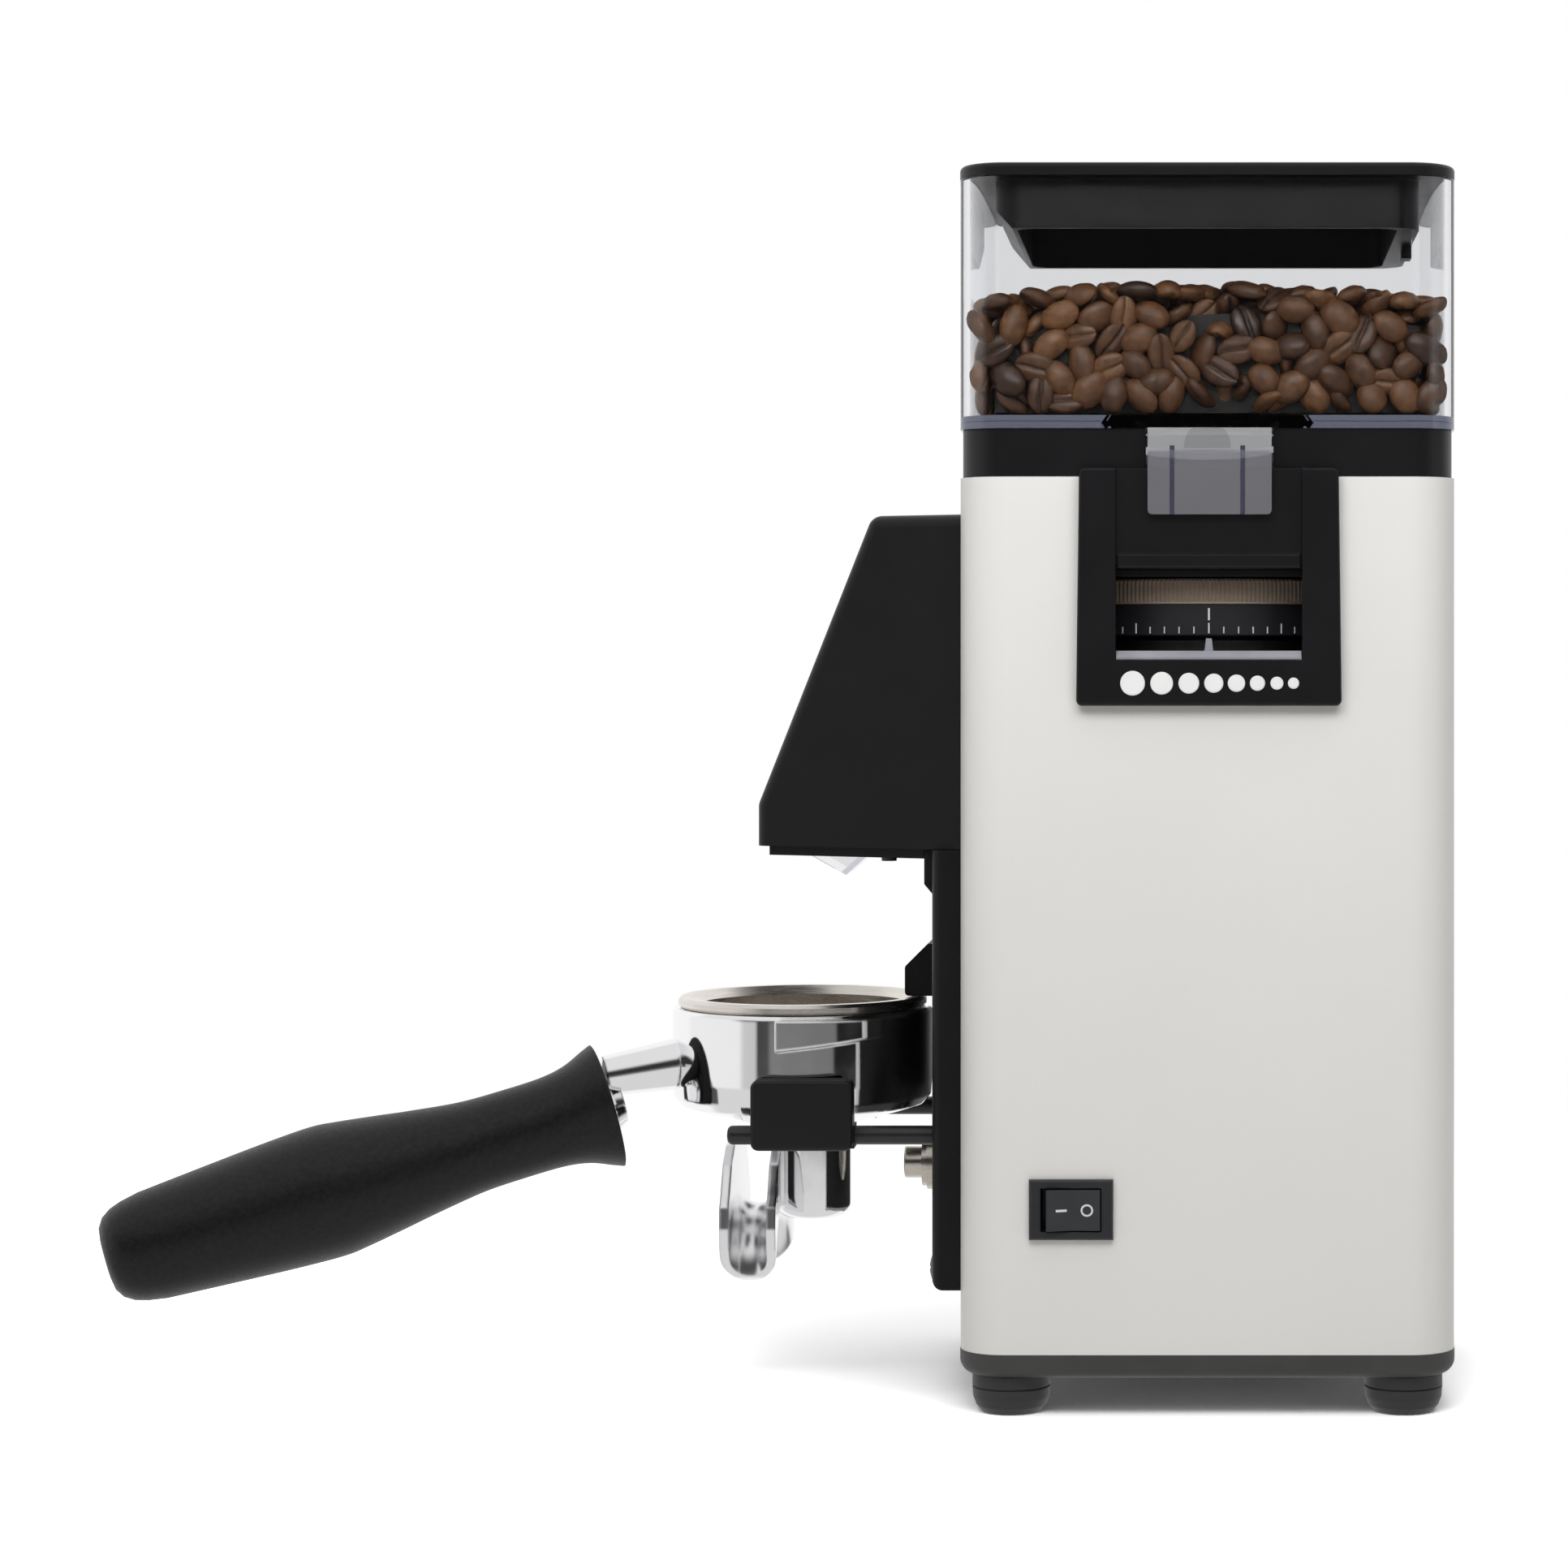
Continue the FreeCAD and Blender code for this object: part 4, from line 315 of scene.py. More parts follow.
def moulded(name, colour, rough, grain=1800.0, depth=0.00004, spread=0.10, **sockets):
    """Moulded plastic or rubber: fine spark-eroded grain, faint cloudiness and soft edges."""
    mat = material(name, colour, rough, **sockets)
    vary_colour(mat, 60.0, scaled(colour, 1 - spread), scaled(colour, 1 + spread))
    vary_rough(mat, 45.0, rough - 0.04, rough + 0.05)
    rounded = soft_edge(mat.node_tree, 0.6 * MM, 4)
    add_bump(mat, noise_node(mat, grain, 2.0), depth, 0.6, below=rounded)
    return mat


def metal(name, colour, rough, streak=(1, 1, 1), scale=500.0, depth=0.00002, spread=0.06):
    """Bare metal with a directional or even finish."""
    mat = material(name, colour, rough, 1.0)
    vary_colour(mat, scale * 0.3, scaled(colour, 1 - spread), scaled(colour, 1 + spread), stretch=streak)
    vary_rough(mat, scale * 0.5, rough - 0.05, rough + 0.06, stretch=streak)
    add_bump(mat, noise_node(mat, scale, 3.0, streak), depth, 0.5)
    return mat


# ------------------------------------------------------------------ materials
def make_white_paint():
    """Powder coat: satin, with a faint orange peel."""
    colour = (0.80, 0.785, 0.765)
    mat = material("white_paint", colour, 0.42, Coat_Weight=0.15, Coat_Roughness=0.3)
    vary_colour(mat, 12.0, scaled(colour, 0.985), scaled(colour, 1.01))
    vary_rough(mat, 30.0, 0.40, 0.47)
    fine = add_bump(mat, noise_node(mat, 900.0, 2.0), 0.00003, 0.35)
    add_bump(mat, noise_node(mat, 160.0, 2.0), 0.00006, 0.25, below=fine)
    return mat


# The hopper's tongue over the grind window is painted matt with the shade and light seen through it:
# painted shade low down, paler painted light above, and darker painted shade on two ribs and on a dome.
TONGUE_DEPTH = 4.2
TONGUE_TOP = 263.2
TONGUE_PAINT_SHARE = 0.55
TONGUE_PAINTED_SHADE = (0.235, 0.235, 0.255)
TONGUE_PAINTED_LIGHT = (0.47, 0.475, 0.485)
TONE_CHANGE_LOW = 256.5
TONE_CHANGE_HIGH = 257.8
RIB_X = 9.35
RIB_HALF = 0.65
RIB_TOP = 258.5
RIB_PAINTED_SHADE = (0.085, 0.085, 0.13)
DOME_HALF_WIDTH = 6.2
DOME_FOOT = 258.0
DOME_RISE = 7.0
DOME_SHADE = (0.766, 0.766, 0.766)
CLEAR_TINT = (0.60, 0.61, 0.67)
CLEAR_DENSITY = 42.0


def tongue_tone(mat, x, z):
    """Painted shade and light on the tongue at a point, x and z in metres."""
    tree = mat.node_tree
    level = ramp_node(mat, smooth_step(tree, z, TONE_CHANGE_LOW * MM, TONE_CHANGE_HIGH * MM),
                      [(0.0, TONGUE_PAINTED_SHADE), (1.0, TONGUE_PAINTED_LIGHT)])
    side = math_node(tree, "ABSOLUTE", math_node(tree, "SUBTRACT", x, BODY_X))
    from_rib = math_node(tree, "ABSOLUTE", math_node(tree, "SUBTRACT", side, RIB_X * MM))
    rib = math_node(tree, "MULTIPLY", math_node(tree, "LESS_THAN", from_rib, RIB_HALF * MM),
                    math_node(tree, "LESS_THAN", z, RIB_TOP * MM))
    reach_x = math_node(tree, "POWER", math_node(tree, "DIVIDE", side, DOME_HALF_WIDTH * MM), 2.0)
    rise = math_node(tree, "DIVIDE", math_node(tree, "SUBTRACT", z, DOME_FOOT * MM), DOME_RISE * MM)
    reach_z = math_node(tree, "POWER", math_node(tree, "ABSOLUTE", rise), 2.0)
    dome = math_node(tree, "MULTIPLY",
                     math_node(tree, "LESS_THAN", math_node(tree, "ADD", reach_x, reach_z), 1.0),
                     math_node(tree, "GREATER_THAN", z, TONE_CHANGE_HIGH * MM))
    shade = mix_colour(tree, dome, 1.0, DOME_SHADE)
    return mix_colour(tree, rib, mix_colour(tree, 1.0, level, shade, "MULTIPLY"), RIB_PAINTED_SHADE)


def make_clear_plastic():
    """Clear styrene-acrylic: cool body tint, faint moulding ripple, and a ribbed tongue painted matt with
    the shade and light seen through it.
    """
    mat = material("clear_plastic", (0.915, 0.917, 0.923), 0.02, IOR=1.45, Transmission_Weight=1.0)
    add_bump(mat, noise_node(mat, 25.0, 1.0), 0.00008, 0.25)
    tree = mat.node_tree
    x, y, z = xyz_of(tree, "Object")
    front_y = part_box("hopper")[0].y
    tongue = math_node(tree, "MULTIPLY", math_node(tree, "LESS_THAN", y, front_y + TONGUE_DEPTH * MM),
                       math_node(tree, "LESS_THAN", z, TONGUE_TOP * MM))
    # The tongue's matt colour is painted shade and light, mixed over the clear surface.
    painted_view = matt(tree, tongue_tone(mat, x, z))
    surface = mix_shader(tree, math_node(tree, "MULTIPLY", tongue, TONGUE_PAINT_SHARE),
                         shader_of(mat).outputs["BSDF"], painted_view)
    body = tree.nodes.new("ShaderNodeVolumeAbsorption")
    body.inputs["Color"].default_value = (*CLEAR_TINT, 1.0)
    body.inputs["Density"].default_value = CLEAR_DENSITY
    output = tree.nodes["Material Output"]
    tree.links.new(surface, output.inputs["Surface"])
    tree.links.new(body.outputs["Volume"], output.inputs["Volume"])
    return mat


# Roast colours from the darkest bean to the palest, the first stop serving only the painted shade of the
# heap's core, and the crease: painted shade on dark beans, golden chaff on pale beans.
BEAN_TONES = [(0.0, (0.010, 0.005, 0.003)), (0.10, (0.060, 0.025, 0.010)), (0.45, (0.170, 0.072, 0.027)),
              (0.8, (0.265, 0.118, 0.046)), (1.0, (0.40, 0.195, 0.080))]
CREASE_SHADE_AND_CHAFF = [(0.50, (0.030, 0.015, 0.008)), (0.62, (0.42, 0.26, 0.12))]
BEAN_MOTTLE = [(0.3, (0.62, 0.60, 0.58)), (0.7, (1.25, 1.25, 1.25))]


def make_bean_material():
    """Medium roast: each bean has its own tone; its crease is painted dark as shade on the darker beans and
    golden with chaff on the pale ones.
    """
    mat = material("roasted_beans", (0.10, 0.045, 0.02), 0.42, Coat_Weight=0.12, Coat_Roughness=0.35)
    tree = mat.node_tree
    tone = attribute_of(tree, "tone")
    mottle = ramp_node(mat, noise_node(mat, 420.0, 5.0), BEAN_MOTTLE)
    skin = mix_colour(tree, 1.0, ramp_node(mat, tone, BEAN_TONES), mottle, "MULTIPLY")
    # The crease colour is painted shade on dark beans and golden chaff on pale ones.
    creased = mix_colour(tree, attribute_of(tree, "seam"), skin, ramp_node(mat, tone, CREASE_SHADE_AND_CHAFF))
    tree.links.new(creased, shader_of(mat).inputs["Base Color"])
    vary_rough(mat, 200.0, 0.34, 0.55)
    add_bump(mat, noise_node(mat, 700.0, 4.0), 0.00012, 0.55)
    return mat


# The inside of the spout's gutter is duller than the polished basket holder.
GUTTER_X = -119.3
GUTTER_TOP = 66.0
GUTTER_ROUGH = 0.24


def make_chrome():
    """Polished chrome with soft edges and the least trace of wear."""
    mat = material("polished_chrome", (0.90, 0.90, 0.91), 0.045, 1.0)
    tree = mat.node_tree
    x, _, z = xyz_of(tree, "Object")
    in_gutter = math_node(tree, "MULTIPLY", math_node(tree, "LESS_THAN", x, spot(GUTTER_X, 0, 0).x),
                          math_node(tree, "LESS_THAN", z, GUTTER_TOP * MM))
    fine = ramp_node(mat, noise_node(mat, 90.0), [(0.35, (0.03, 0.03, 0.03)), (0.65, (0.07, 0.07, 0.07))])
    tree.links.new(mix_colour(tree, in_gutter, fine, GUTTER_ROUGH), shader_of(mat).inputs["Roughness"])
    tree.links.new(soft_edge(tree, 1.2 * MM, 6), shader_of(mat).inputs["Normal"])
    return mat


def make_brushed_basket():
    """Spun steel: the grain runs round the basket."""
    return metal("brushed_basket", (0.74, 0.70, 0.65), 0.24, (1, 1, 14), 260.0, 0.00001, 0.03)


def make_handle_black():
    """Sand-textured black phenolic."""
    mat = material("handle_black", (0.006, 0.006, 0.0064), 0.42, Specular_IOR_Level=0.30)
    vary_colour(mat, 700.0, (0.0042, 0.0042, 0.0046), (0.0085, 0.0085, 0.0090))
    vary_rough(mat, 1200.0, 0.38, 0.50)
    add_bump(mat, noise_node(mat, 1500.0, 3.0), 0.00008, 0.7)
    return mat


def make_display():
    return material("display_glass", (0.008, 0.012, 0.014), 0.08, Coat_Weight=0.6, Coat_Roughness=0.03)


MOULDED = {
    "foot_rubber": dict(colour=(0.030, 0.030, 0.030), rough=0.52, grain=900.0),
    "base_plastic": dict(colour=(0.048, 0.048, 0.047), rough=0.55),
    "black_satin_plastic": dict(colour=(0.0062, 0.0062, 0.0072), rough=0.38, grain=1500.0, depth=0.00003,
                                Specular_IOR_Level=0.28),
    "lid_plastic": dict(colour=(0.0065, 0.0065, 0.0074), rough=0.38, grain=1400.0, Specular_IOR_Level=0.28),
    "pale_index": dict(colour=(0.30, 0.30, 0.335), rough=0.38),
    "white_print": dict(colour=(0.84, 0.84, 0.84), rough=0.55, spread=0.02),
    "bronze_ring": dict(colour=(0.40, 0.315, 0.245), rough=0.42, grain=900.0, Metallic=0.25),
    "scale_black": dict(colour=(0.016, 0.016, 0.020), rough=0.42),
    "duct_plastic": dict(colour=(0.020, 0.020, 0.020), rough=0.5),
    "board_green": dict(colour=(0.02, 0.14, 0.06), rough=0.4),
    "black_housing": dict(colour=(0.0062, 0.0062, 0.0070), rough=0.42, grain=1300.0, depth=0.00005,
                          Specular_IOR_Level=0.22),
    "panel_gloss": dict(colour=(0.009, 0.009, 0.011), rough=0.22, grain=500.0, depth=0.00001),
    "screw_black": dict(colour=(0.030, 0.030, 0.031), rough=0.38),
    "black_rod": dict(colour=(0.014, 0.014, 0.014), rough=0.33, grain=900.0),
    "pad_rubber": dict(colour=(0.0075, 0.0075, 0.0075), rough=0.45, grain=1100.0, depth=0.00006,
                       Specular_IOR_Level=0.30),
    "switch_black": dict(colour=(0.017, 0.018, 0.020), rough=0.36, grain=1200.0, depth=0.00003),
    "rocker_black": dict(colour=(0.030, 0.032, 0.036), rough=0.40, grain=1200.0, depth=0.00003),
    "key_grey": dict(colour=(0.20, 0.20, 0.21), rough=0.45),
}
METALS = {
    "screw_steel": dict(colour=(0.55, 0.55, 0.54), rough=0.3),
    "cast_aluminium": dict(colour=(0.26, 0.26, 0.265), rough=0.6, scale=700.0, depth=0.00008),
    "burr_steel": dict(colour=(0.50, 0.50, 0.50), rough=0.22),
    "brass_carrier": dict(colour=(0.72, 0.52, 0.24), rough=0.3),
    "zinc_steel": dict(colour=(0.60, 0.61, 0.62), rough=0.35),
    "lamination_steel": dict(colour=(0.30, 0.30, 0.31), rough=0.4, streak=(1, 1, 30)),
    "copper_wire": dict(colour=(0.60, 0.26, 0.11), rough=0.35, streak=(1, 1, 30)),
    "nickel": dict(colour=(0.56, 0.52, 0.46), rough=0.24, streak=(1, 12, 12), scale=400.0),
}
MATERIALS = {
    "white_paint": make_white_paint(),
    "clear_plastic": make_clear_plastic(),
    "roasted_beans": make_bean_material(),
    "display_glass": make_display(),
    "polished_chrome": make_chrome(),
    "brushed_basket": make_brushed_basket(),
    "handle_black": make_handle_black(),
}
MATERIALS.update({name: moulded(name, **look) for name, look in MOULDED.items()})
MATERIALS.update({name: metal(name, **look) for name, look in METALS.items()})


def dress_cad_nodes():
    slots = {row["node"]: row["material_slot"] for row in frame["record"]["subparts"]}
    for name, node in frame["nodes"].items():
        node.data.materials.clear()
        node.data.materials.append(MATERIALS[slots[name]])
        for polygon in node.data.polygons:
            polygon.material_index = 0


# ------------------------------------------------------------------ coffee beans
BEAN_LONG = 5.3
BEAN_WIDE = 3.95
BEAN_THICK = 2.75
BEAN_FLAT = 0.62
FLAT_POWER = 0.55
BEAN_TAPER = 0.92
BEAN_RINGS = 12
BEAN_ANGLES = [-90, -84, -76, -64, -46, -22, 4, 30, 60, 90, 120, 150, 176, 202, 226, 244, 256, 264]
TIP_Z = -0.1
TIP_MARK = 0.3
CREASE_HALF = 0.75
CREASE_DEPTH = 1.15
CREASE_WAVE = 0.35
CREASE_TURN = 2.2
CREASE_MARK = 0.8

BEAN_COUNT = 980
BEAN_LAYER = 12.5
BEAN_SPACING = 7.5
BEAN_SEED = 7
BEAN_INSET = 3.3
BEAN_LIFT = 2.6
BEANS_UNDER_TOP = 2.4
TRIES = 4000
PUSH_ROUNDS = 90
PUSH_SHARE = 0.28
NEAR_WALL = 5.5
NEAR_TOP = 7
BACK_OUTWARD_SHARE = 0.6
LOOSE_AT_WALL = 0.38
LOOSE_ON_TOP = 0.55
LOOSE_INSIDE = 0.8
JITTER = 0.55
SIDE_SIZES = (0.90, 1.10)
BEAN_SIZES = (0.95, 1.06)
ROAST_MEAN = 0.42
ROAST_SPREAD = 0.2
ROAST_DARKEST = 0.10
WALL_GAP = 0.15
TOP_GAP = 0.05

HEAP_FLOOR = 267.4
HEAP_DROP = 5.2
HEAP_REACH_X = 60.0
HEAP_REACH_Y = 55.0
HEAP_FALL_X = 0.75
HEAP_FALL_Y = 0.35
CORE_INSET = 6.5
CORE_UNDER_TOP = 2.5
CORE_FLOOR = 268.0
CORE_CELLS = 14
CORE_LUMP = 0.8
THROAT_PROFILE = [(0.0, 242.0), (16.5, 242.0), (18.5, 243.5), (18.5, 248.0), (14.0, 251.5), (0.0, 253.0)]


def bean_template():
    """One bean, long axis X, flat creased side facing -Z, with the strength of the crease at each point."""
    verts = [(-BEAN_LONG, 0, TIP_Z)]
    seam = [TIP_MARK]
    for i in range(1, BEAN_RINGS):
        u = -math.cos(math.pi * i / BEAN_RINGS)
        girth = math.sqrt(1 - u * u) ** BEAN_TAPER
        for degrees in BEAN_ANGLES:
            angle = math.radians(degrees)
            y = BEAN_WIDE * girth * math.cos(angle)
            rise = math.sin(angle)
            if rise >= 0:
                z = BEAN_THICK * girth * rise
                mark = 0.0
            else:
                z = -BEAN_FLAT * BEAN_THICK * girth * (abs(rise) ** FLAT_POWER)
                centre = CREASE_WAVE * math.sin(u * CREASE_TURN)
                closeness = max(0.0, 1 - abs(y - centre) / CREASE_HALF)
                z += CREASE_DEPTH * closeness * girth
                mark = closeness ** 1.5 * CREASE_MARK
            verts.append((BEAN_LONG * u, y, z))
            seam.append(mark)
    verts.append((BEAN_LONG, 0, TIP_Z))
    seam.append(TIP_MARK)
    n = len(BEAN_ANGLES)
    faces = [(0, 1 + (k + 1) % n, 1 + k) for k in range(n)]
    for i in range(BEAN_RINGS - 2):
        a = 1 + i * n
        faces += [(a + k, a + (k + 1) % n, a + n + (k + 1) % n, a + n + k) for k in range(n)]
    last = 1 + (BEAN_RINGS - 2) * n
    end = len(verts) - 1
    faces += [(end, last + k, last + (k + 1) % n) for k in range(n)]
    return np.array(verts), np.array(seam), faces


def heap_top(x, y, crown_z):
    """Height of the heap's surface over a point: it falls away from the crown towards the walls."""
    fall = (x / HEAP_REACH_X) ** 2 * HEAP_FALL_X + (y / HEAP_REACH_Y) ** 2 * HEAP_FALL_Y
    return crown_z - HEAP_DROP * fall


def scatter_beans(rng, half_x, half_y, crown_z):
    """Bean centres in the outer layer of the heap, pushed apart until they hardly overlap."""
    low = np.array([-half_x + BEAN_INSET, -half_y + BEAN_INSET, HEAP_FLOOR + BEAN_LIFT])
    high = np.array([half_x - BEAN_INSET, half_y - BEAN_INSET, crown_z])
    centre_crown = crown_z - BEANS_UNDER_TOP

    def depth(p):
        top = heap_top(p[:, 0], p[:, 1], centre_crown)
        walls = np.minimum(half_x - np.abs(p[:, 0]), half_y - np.abs(p[:, 1]))
        return np.minimum(walls, top - p[:, 2] + BEAN_INSET)

    points = np.empty((0, 3))
    while len(points) < BEAN_COUNT:
        tries = low + rng.random((TRIES, 3)) * (high - low)
        under = tries[:, 2] < heap_top(tries[:, 0], tries[:, 1], centre_crown)
        tries = tries[under & (depth(tries) < BEAN_LAYER)]
        points = np.vstack([points, tries])[:BEAN_COUNT]
    for _ in range(PUSH_ROUNDS):
        gap = points[:, None, :] - points[None, :, :]
        dist = np.sqrt((gap ** 2).sum(2)) + 1e-6
        push = np.clip(BEAN_SPACING - dist, 0, None)
        np.fill_diagonal(push, 0)
        points = points + (gap / dist[:, :, None] * (push * PUSH_SHARE)[:, :, None]).sum(1)
        points = np.clip(points, low, high)
        points[:, 2] = np.minimum(points[:, 2], heap_top(points[:, 0], points[:, 1], centre_crown))
        points[:, 2] = np.maximum(points[:, 2], low[2])
    return points


def bean_axes(rng, point, half_x, half_y, crown_z):
    """Rows: long axis, wide axis, back axis. A bean lies flat against the wall that it touches."""
    to_x = half_x - abs(point[0])
    to_y = half_y - abs(point[1])
    to_top = heap_top(point[0], point[1], crown_z) - point[2]
    flip = 1.0 if rng.random() < BACK_OUTWARD_SHARE else -1.0
    if min(to_x, to_y) < NEAR_WALL and min(to_x, to_y) < to_top:
        if to_x < to_y:
            back = np.array([math.copysign(1, point[0]), 0, 0])
        else:
            back = np.array([0, math.copysign(1, point[1]), 0])
        loose = LOOSE_AT_WALL
    elif to_top < NEAR_TOP:
        back = np.array([0, 0, 1.0])
        loose = LOOSE_ON_TOP
    else:
        back = rng.normal(size=3)
        loose = LOOSE_INSIDE
    back = back / np.linalg.norm(back) * flip + rng.normal(size=3) * loose * JITTER
    back = back / np.linalg.norm(back)
    along = np.cross(back, rng.normal(size=3))
    along = along / np.linalg.norm(along)
    return np.array([along, np.cross(back, along), back])


def heap_box():
    """Half width and half depth of the heap, and the height of its crown."""
    low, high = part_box("coffee_beans")
    return (high.x - low.x) / 2 / MM, (high.y - low.y) / 2 / MM, high.z / MM


def make_beans():
    half_x, half_y, crown_z = heap_box()
    rng = np.random.default_rng(BEAN_SEED)
    centres = scatter_beans(rng, half_x, half_y, crown_z)
    template, seam, faces = bean_template()
    verts, all_faces, tones, seams = [], [], [], []
    limit_low = np.array([-half_x + WALL_GAP, -half_y + WALL_GAP, HEAP_FLOOR + TOP_GAP])
    limit_high = np.array([half_x - WALL_GAP, half_y - WALL_GAP, crown_z - TOP_GAP])
    for centre in centres:
        axes = bean_axes(rng, centre, half_x, half_y, crown_z)
        size = rng.uniform(*SIDE_SIZES, 3) * rng.uniform(*BEAN_SIZES)
        shape = (template * size) @ axes + centre
        reach = np.maximum(limit_low - shape.min(0), 0) - np.maximum(shape.max(0) - limit_high, 0)
        shape = np.clip(shape + reach, limit_low, limit_high)
        start = len(verts)
        verts.extend(shape)
        all_faces.extend([tuple(start + i for i in f) for f in faces])
        roast = float(np.clip(rng.normal(ROAST_MEAN, ROAST_SPREAD), ROAST_DARKEST, 1))
        tones.extend([roast] * len(template))
        seams.extend(seam)
    points = [spot(*v) for v in verts]
    heap = add_mesh("bean_heap", points, all_faces, MATERIALS["roasted_beans"], "hopper")
    write_values(heap, "tone", tones)
    write_values(heap, "seam", seams)
    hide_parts("coffee_beans")
    face_outward(heap)


def core_block(half_x, half_y, crown_z):
    """A lumpy-topped block inside the heap: a grid of points for the top and one for the floor."""
    cells = range(CORE_CELLS + 1)
    places = [(-half_x + 2 * half_x * i / CORE_CELLS, -half_y + 2 * half_y * j / CORE_CELLS)
              for j in cells for i in cells]
    verts = []
    for x, y in places:
        lump = CORE_LUMP * math.sin(x * 0.9 + y * 0.3) * math.cos(y * 0.8)
        verts.append(spot(x, y, heap_top(x, y, crown_z - CORE_UNDER_TOP) + lump))
    verts += [spot(x, y, CORE_FLOOR) for x, y in places]
    count = len(places)
    row = CORE_CELLS + 1
    faces = []
    for j in range(CORE_CELLS):
        for i in range(CORE_CELLS):
            a = j * row + i
            faces.append((a, a + 1, a + row + 1, a + row))
            faces.append((count + a, count + a + row, count + a + row + 1, count + a + 1))
    rim = list(range(row)) + [j * row + CORE_CELLS for j in range(1, row)]
    rim += [CORE_CELLS * row + i for i in range(CORE_CELLS - 1, -1, -1)]
    rim += [j * row for j in range(CORE_CELLS - 1, 0, -1)]
    for k, a in enumerate(rim):
        b = rim[(k + 1) % len(rim)]
        faces.append((a, count + a, count + b, b))
    return verts, faces


def make_bean_core():
    """The middle of the heap and the beans down the throat as blocks painted the darkest bean tone as
    shade, seen only in the gaps.
    """
    half_x, half_y, crown_z = heap_box()
    verts, faces = core_block(half_x - CORE_INSET, half_y - CORE_INSET, crown_z - CORE_INSET)
    core = add_mesh("bean_shade_core", verts, faces, MATERIALS["roasted_beans"], "hopper", False)
    plug_verts, plug_faces = turned(THROAT_PROFILE, 48)
    plug = add_mesh("bean_throat_shade", [spot(*v) for v in plug_verts], plug_faces, MATERIALS["roasted_beans"],
                    "hopper")
    # Tone and crease are set to zero, so both pieces take the darkest bean tone as painted shade.
    for piece in (core, plug):
        for key in ("tone", "seam"):
            write_values(piece, key, [0.0] * len(piece.data.vertices))
        face_outward(piece)


# ------------------------------------------------------------------ adjusting ring and its scale
RIDGES = 270
RIDGE_DEPTH = 0.55
RING_BORE = 46.8
WEB_OUTER = 46.9
WEB_INNER = 34.2
WEB_DROP = 2.5
WEB_UNDER = 6.5
NECK_BORE = 31.4
NECK_FOOT = 211.7

DIVISIONS = 80
DIGIT_STEP = 10
LONG_STEP = 5
SCALE_TURN = math.radians(0.45)
TICK_FOOT = 0.7
TICK_LIFT = 0.14
# Height and half width of the ticks at a number, halfway between numbers, and elsewhere.
NUMBER_TICK = (2.8, 0.22)
HALFWAY_TICK = (2.7, 0.19)
SMALL_TICK = (1.8, 0.17)
DIGIT_SIZE = 4.6
DIGIT_WEIGHT = 0.05
DIGIT_HALF_THICK = 0.03
DIGIT_LIFT = 0.09
DIGIT_FOOT = 3.6
DIGIT_PITCH = 45.0


def make_knurled_ring():
    low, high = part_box("adjust_ring")
    radius = (high.x - low.x) / 2 / MM
    top = high.z / MM
    band_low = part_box("scale_ring")[1].z / MM
    # knurled or plain, height, and how far the surface stands in from the ring's full radius
    rows = [(False, band_low, -0.9), (False, band_low + 0.15, -0.35), (False, band_low + 0.7, -0.3),
            (True, band_low + 1.0, 0.0), (True, top - 0.7, 0.0), (False, top - 0.35, -0.45),
            (False, top, -1.0)]
    steps = RIDGES * 4
    verts = []
    for i in range(steps):
        angle = 2 * math.pi * i / steps
        crest = 1.0 if i % 4 in (0, 1) else 0.0
        for knurled, z, offset in rows:
            r = radius + offset - (RIDGE_DEPTH * (1 - crest) if knurled else 0.0)
            verts.append((r * math.cos(angle), r * math.sin(angle), z))
        for z in (top, band_low):
            verts.append((RING_BORE * math.cos(angle), RING_BORE * math.sin(angle), z))
    ring = add_mesh("knurled_ring", [spot(*v) for v in verts], hoop_faces(steps, len(rows) + 2),
                    MATERIALS["bronze_ring"], "adjuster", False)
    profile = [(WEB_OUTER, top - WEB_DROP), (WEB_OUTER, top - WEB_UNDER), (WEB_INNER, top - WEB_UNDER),
               (WEB_INNER, NECK_FOOT), (NECK_BORE, NECK_FOOT), (NECK_BORE, top), (WEB_INNER, top),
               (WEB_INNER, top - WEB_DROP), (WEB_OUTER, top - WEB_DROP)]
    web_verts, web_faces = turned(profile, 96)
    web = add_mesh("ring_web", [spot(*v) for v in web_verts], web_faces, MATERIALS["bronze_ring"],
                   "adjuster", False)
    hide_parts("adjust_ring")
    face_outward(ring)
    face_outward(web)


def wrap_on_ring(x, z, lift, centre_angle, radius):
    """A flat point (x to the right, z up) wrapped round the scale ring, seen from outside."""
    angle = centre_angle + x / radius
    r = radius + lift
    return spot(r * math.cos(angle), r * math.sin(angle), z)


def tick_size(division):
    if division % DIGIT_STEP == 0:
        return NUMBER_TICK
    return HALFWAY_TICK if division % LONG_STEP == 0 else SMALL_TICK


def digit_mesh(number):
    """Flat mesh of one figure, standing on Y = 0 and centred on X."""
    curve = bpy.data.curves.new("digit_shape", "FONT")
    curve.body = str(number)
    curve.size = DIGIT_SIZE
    curve.offset = DIGIT_WEIGHT
    curve.align_x = "CENTER"
    curve.extrude = DIGIT_HALF_THICK
    curve.resolution_u = 4
    holder = bpy.data.objects.new("digit_shape", curve)
    bpy.context.scene.collection.objects.link(holder)
    bpy.context.view_layer.update()
    shape = bpy.data.meshes.new_from_object(holder.evaluated_get(bpy.context.evaluated_depsgraph_get()))
    bpy.data.objects.remove(holder)
    bpy.data.curves.remove(curve)
    return shape


